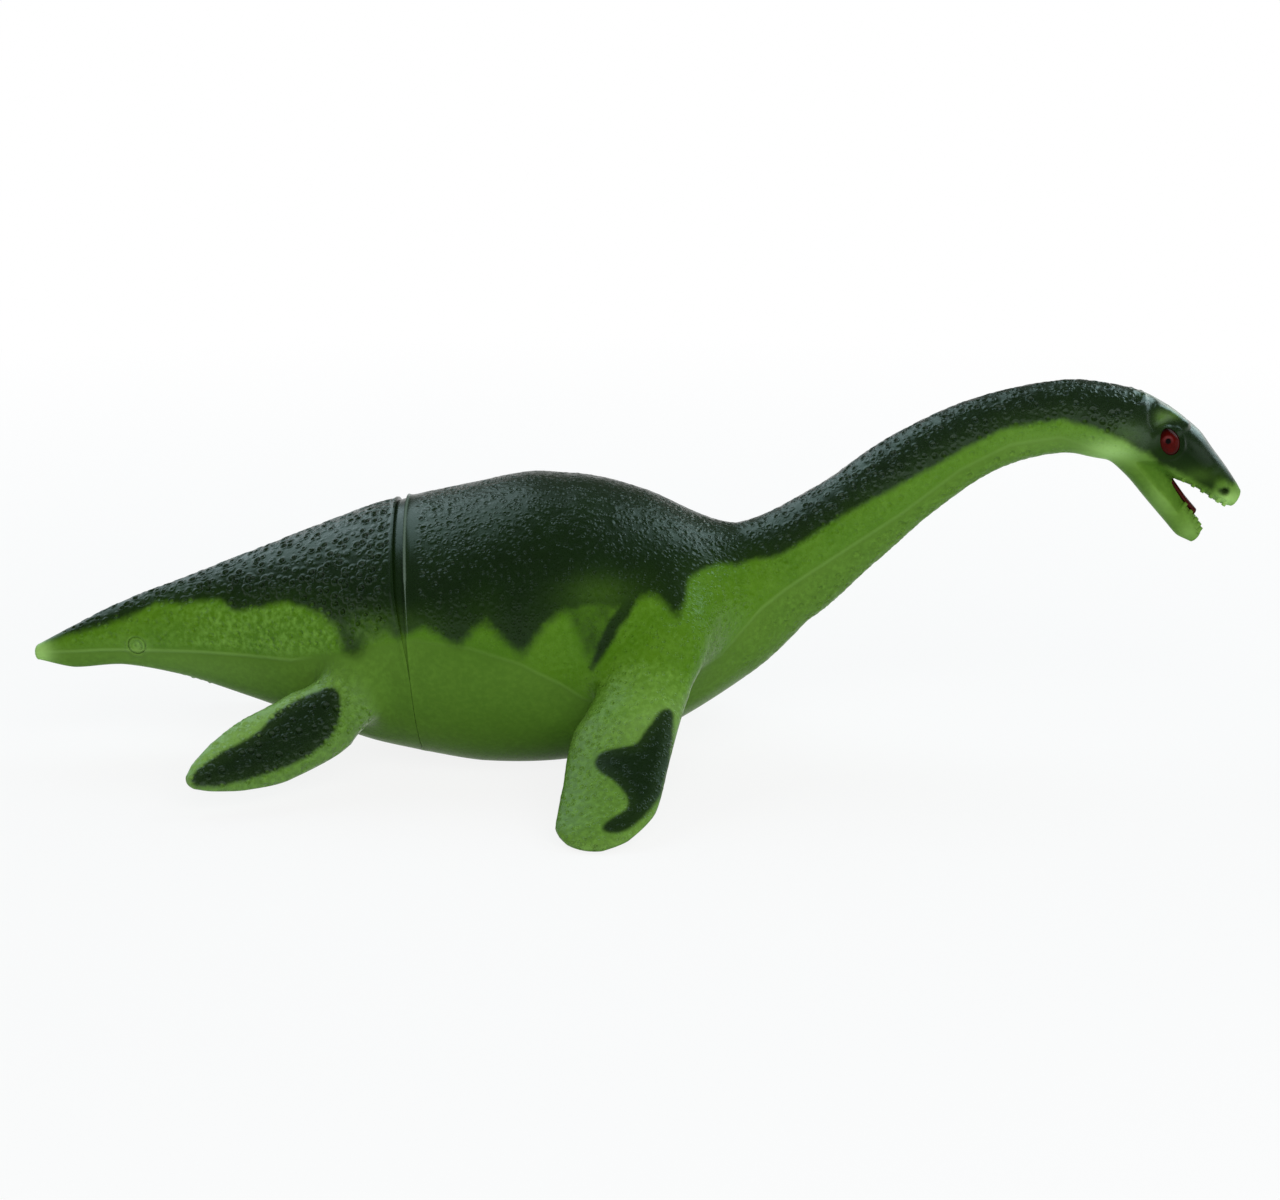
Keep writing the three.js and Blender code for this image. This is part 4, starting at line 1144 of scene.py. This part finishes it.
# Paper sheet on the floor, curved up far away on all sides: radius and height of its rings, in m
SHEET_RINGS, SHEET_STEPS = [(12, 0), (14.4, 0.4), (16, 1.6), (16.8, 3.2)], 48
turn = np.linspace(0, 2 * np.pi, SHEET_STEPS, endpoint=False)
ring = np.stack([np.cos(turn), np.sin(turn)], axis=1)
sheet = [(0, 0, 0)] + [(*(spot * out), rise) for out, rise in SHEET_RINGS for spot in ring]
faces = []
for k in range(SHEET_STEPS):
    e = (k + 1) % SHEET_STEPS
    faces.append([0, 1 + k, 1 + e])
    for inner in range(1, 1 + SHEET_STEPS * (len(SHEET_RINGS) - 1), SHEET_STEPS):
        outer = inner + SHEET_STEPS
        faces.append([inner + k, outer + k, outer + e, inner + e])
floor_mesh = bpy.data.meshes.new("floor")
floor_mesh.from_pydata(sheet, [], faces)
floor = bpy.data.objects.new("floor", floor_mesh)
floor.location.z = -0.0004
bpy.context.scene.collection.objects.link(floor)
# White paper, shown as white to the eye and in gloss, with the object's shadow left in it
paper, tree = new_material("white paper")
path = add(tree, "ShaderNodeLightPath")
seen = path.outputs["Is Camera Ray"]
for ray in ("Is Glossy Ray", "Is Transmission Ray"):
    seen = add(tree, "ShaderNodeMath", {"operation": "MAXIMUM"}, _0=seen, _1=path.outputs[ray]).outputs[0]
away = add(tree, "ShaderNodeVectorMath", {"operation": "LENGTH"},
           _0=add(tree, "ShaderNodeTexCoord").outputs["Object"])
level = add(tree, "ShaderNodeMapRange", Value=away.outputs["Value"],
            From_Min=0.25, From_Max=0.9, To_Min=0.86, To_Max=1.0)
share = add(tree, "ShaderNodeMath", {"operation": "MULTIPLY"}, _0=seen, _1=level.outputs[0])
matt = add(tree, "ShaderNodeBsdfDiffuse", Color=linear("#efefef"))
white = add(tree, "ShaderNodeEmission", Color=(1, 1, 1, 1), Strength=1.0)
both = add(tree, "ShaderNodeMixShader", _0=share.outputs[0], _1=matt.outputs[0], _2=white.outputs[0])
add(tree, "ShaderNodeOutputMaterial", Surface=both.outputs[0])
floor_mesh.materials.append(paper)

world = bpy.data.worlds.new("studio")
bpy.context.scene.world = world
world.use_nodes = True
tree = world.node_tree
tree.nodes.clear()
sky = add(tree, "ShaderNodeBackground", Color=(1, 1, 1, 1), Strength=0.1)
add(tree, "ShaderNodeOutputWorld", Surface=sky.outputs[0])

# Lamp: place, width, depth, power, tint, and whether gloss and the rest of the light show it
LAMPS = [
    ("left window", (-0.9, 0.9, 1.32), 1.6, 2.1, 19, (0.74, 0.93, 1.0), True, True),
    ("right window", (1.28, 0.74, 1.1), 1.0, 1.4, 13, (0.74, 0.93, 1.0), True, True),
    ("front fill", (0.5, -1.65, 1.0), 1.6, 1.2, 24, (1.0, 0.99, 0.96), False, True),
    ("far window", (1.06, 1.36, 0.55), 0.8, 0.5, 2.2, (0.9, 1.0, 0.95), True, False),
]
AIM = Vector((0.04, 0, 0.05))
for name, place, wide, deep, power, tint, glossy, diffuse in LAMPS:
    lamp = bpy.data.lights.new(name, "AREA")
    lamp.shape, lamp.size, lamp.size_y, lamp.energy, lamp.color = "RECTANGLE", wide, deep, power, tint
    light = bpy.data.objects.new(name, lamp)
    light.visible_glossy, light.visible_diffuse = glossy, diffuse
    light.location = place
    light.rotation_euler = (AIM - light.location).to_track_quat("-Z", "Y").to_euler()
    bpy.context.scene.collection.objects.link(light)
bpy.context.scene.view_settings.view_transform = "Standard"
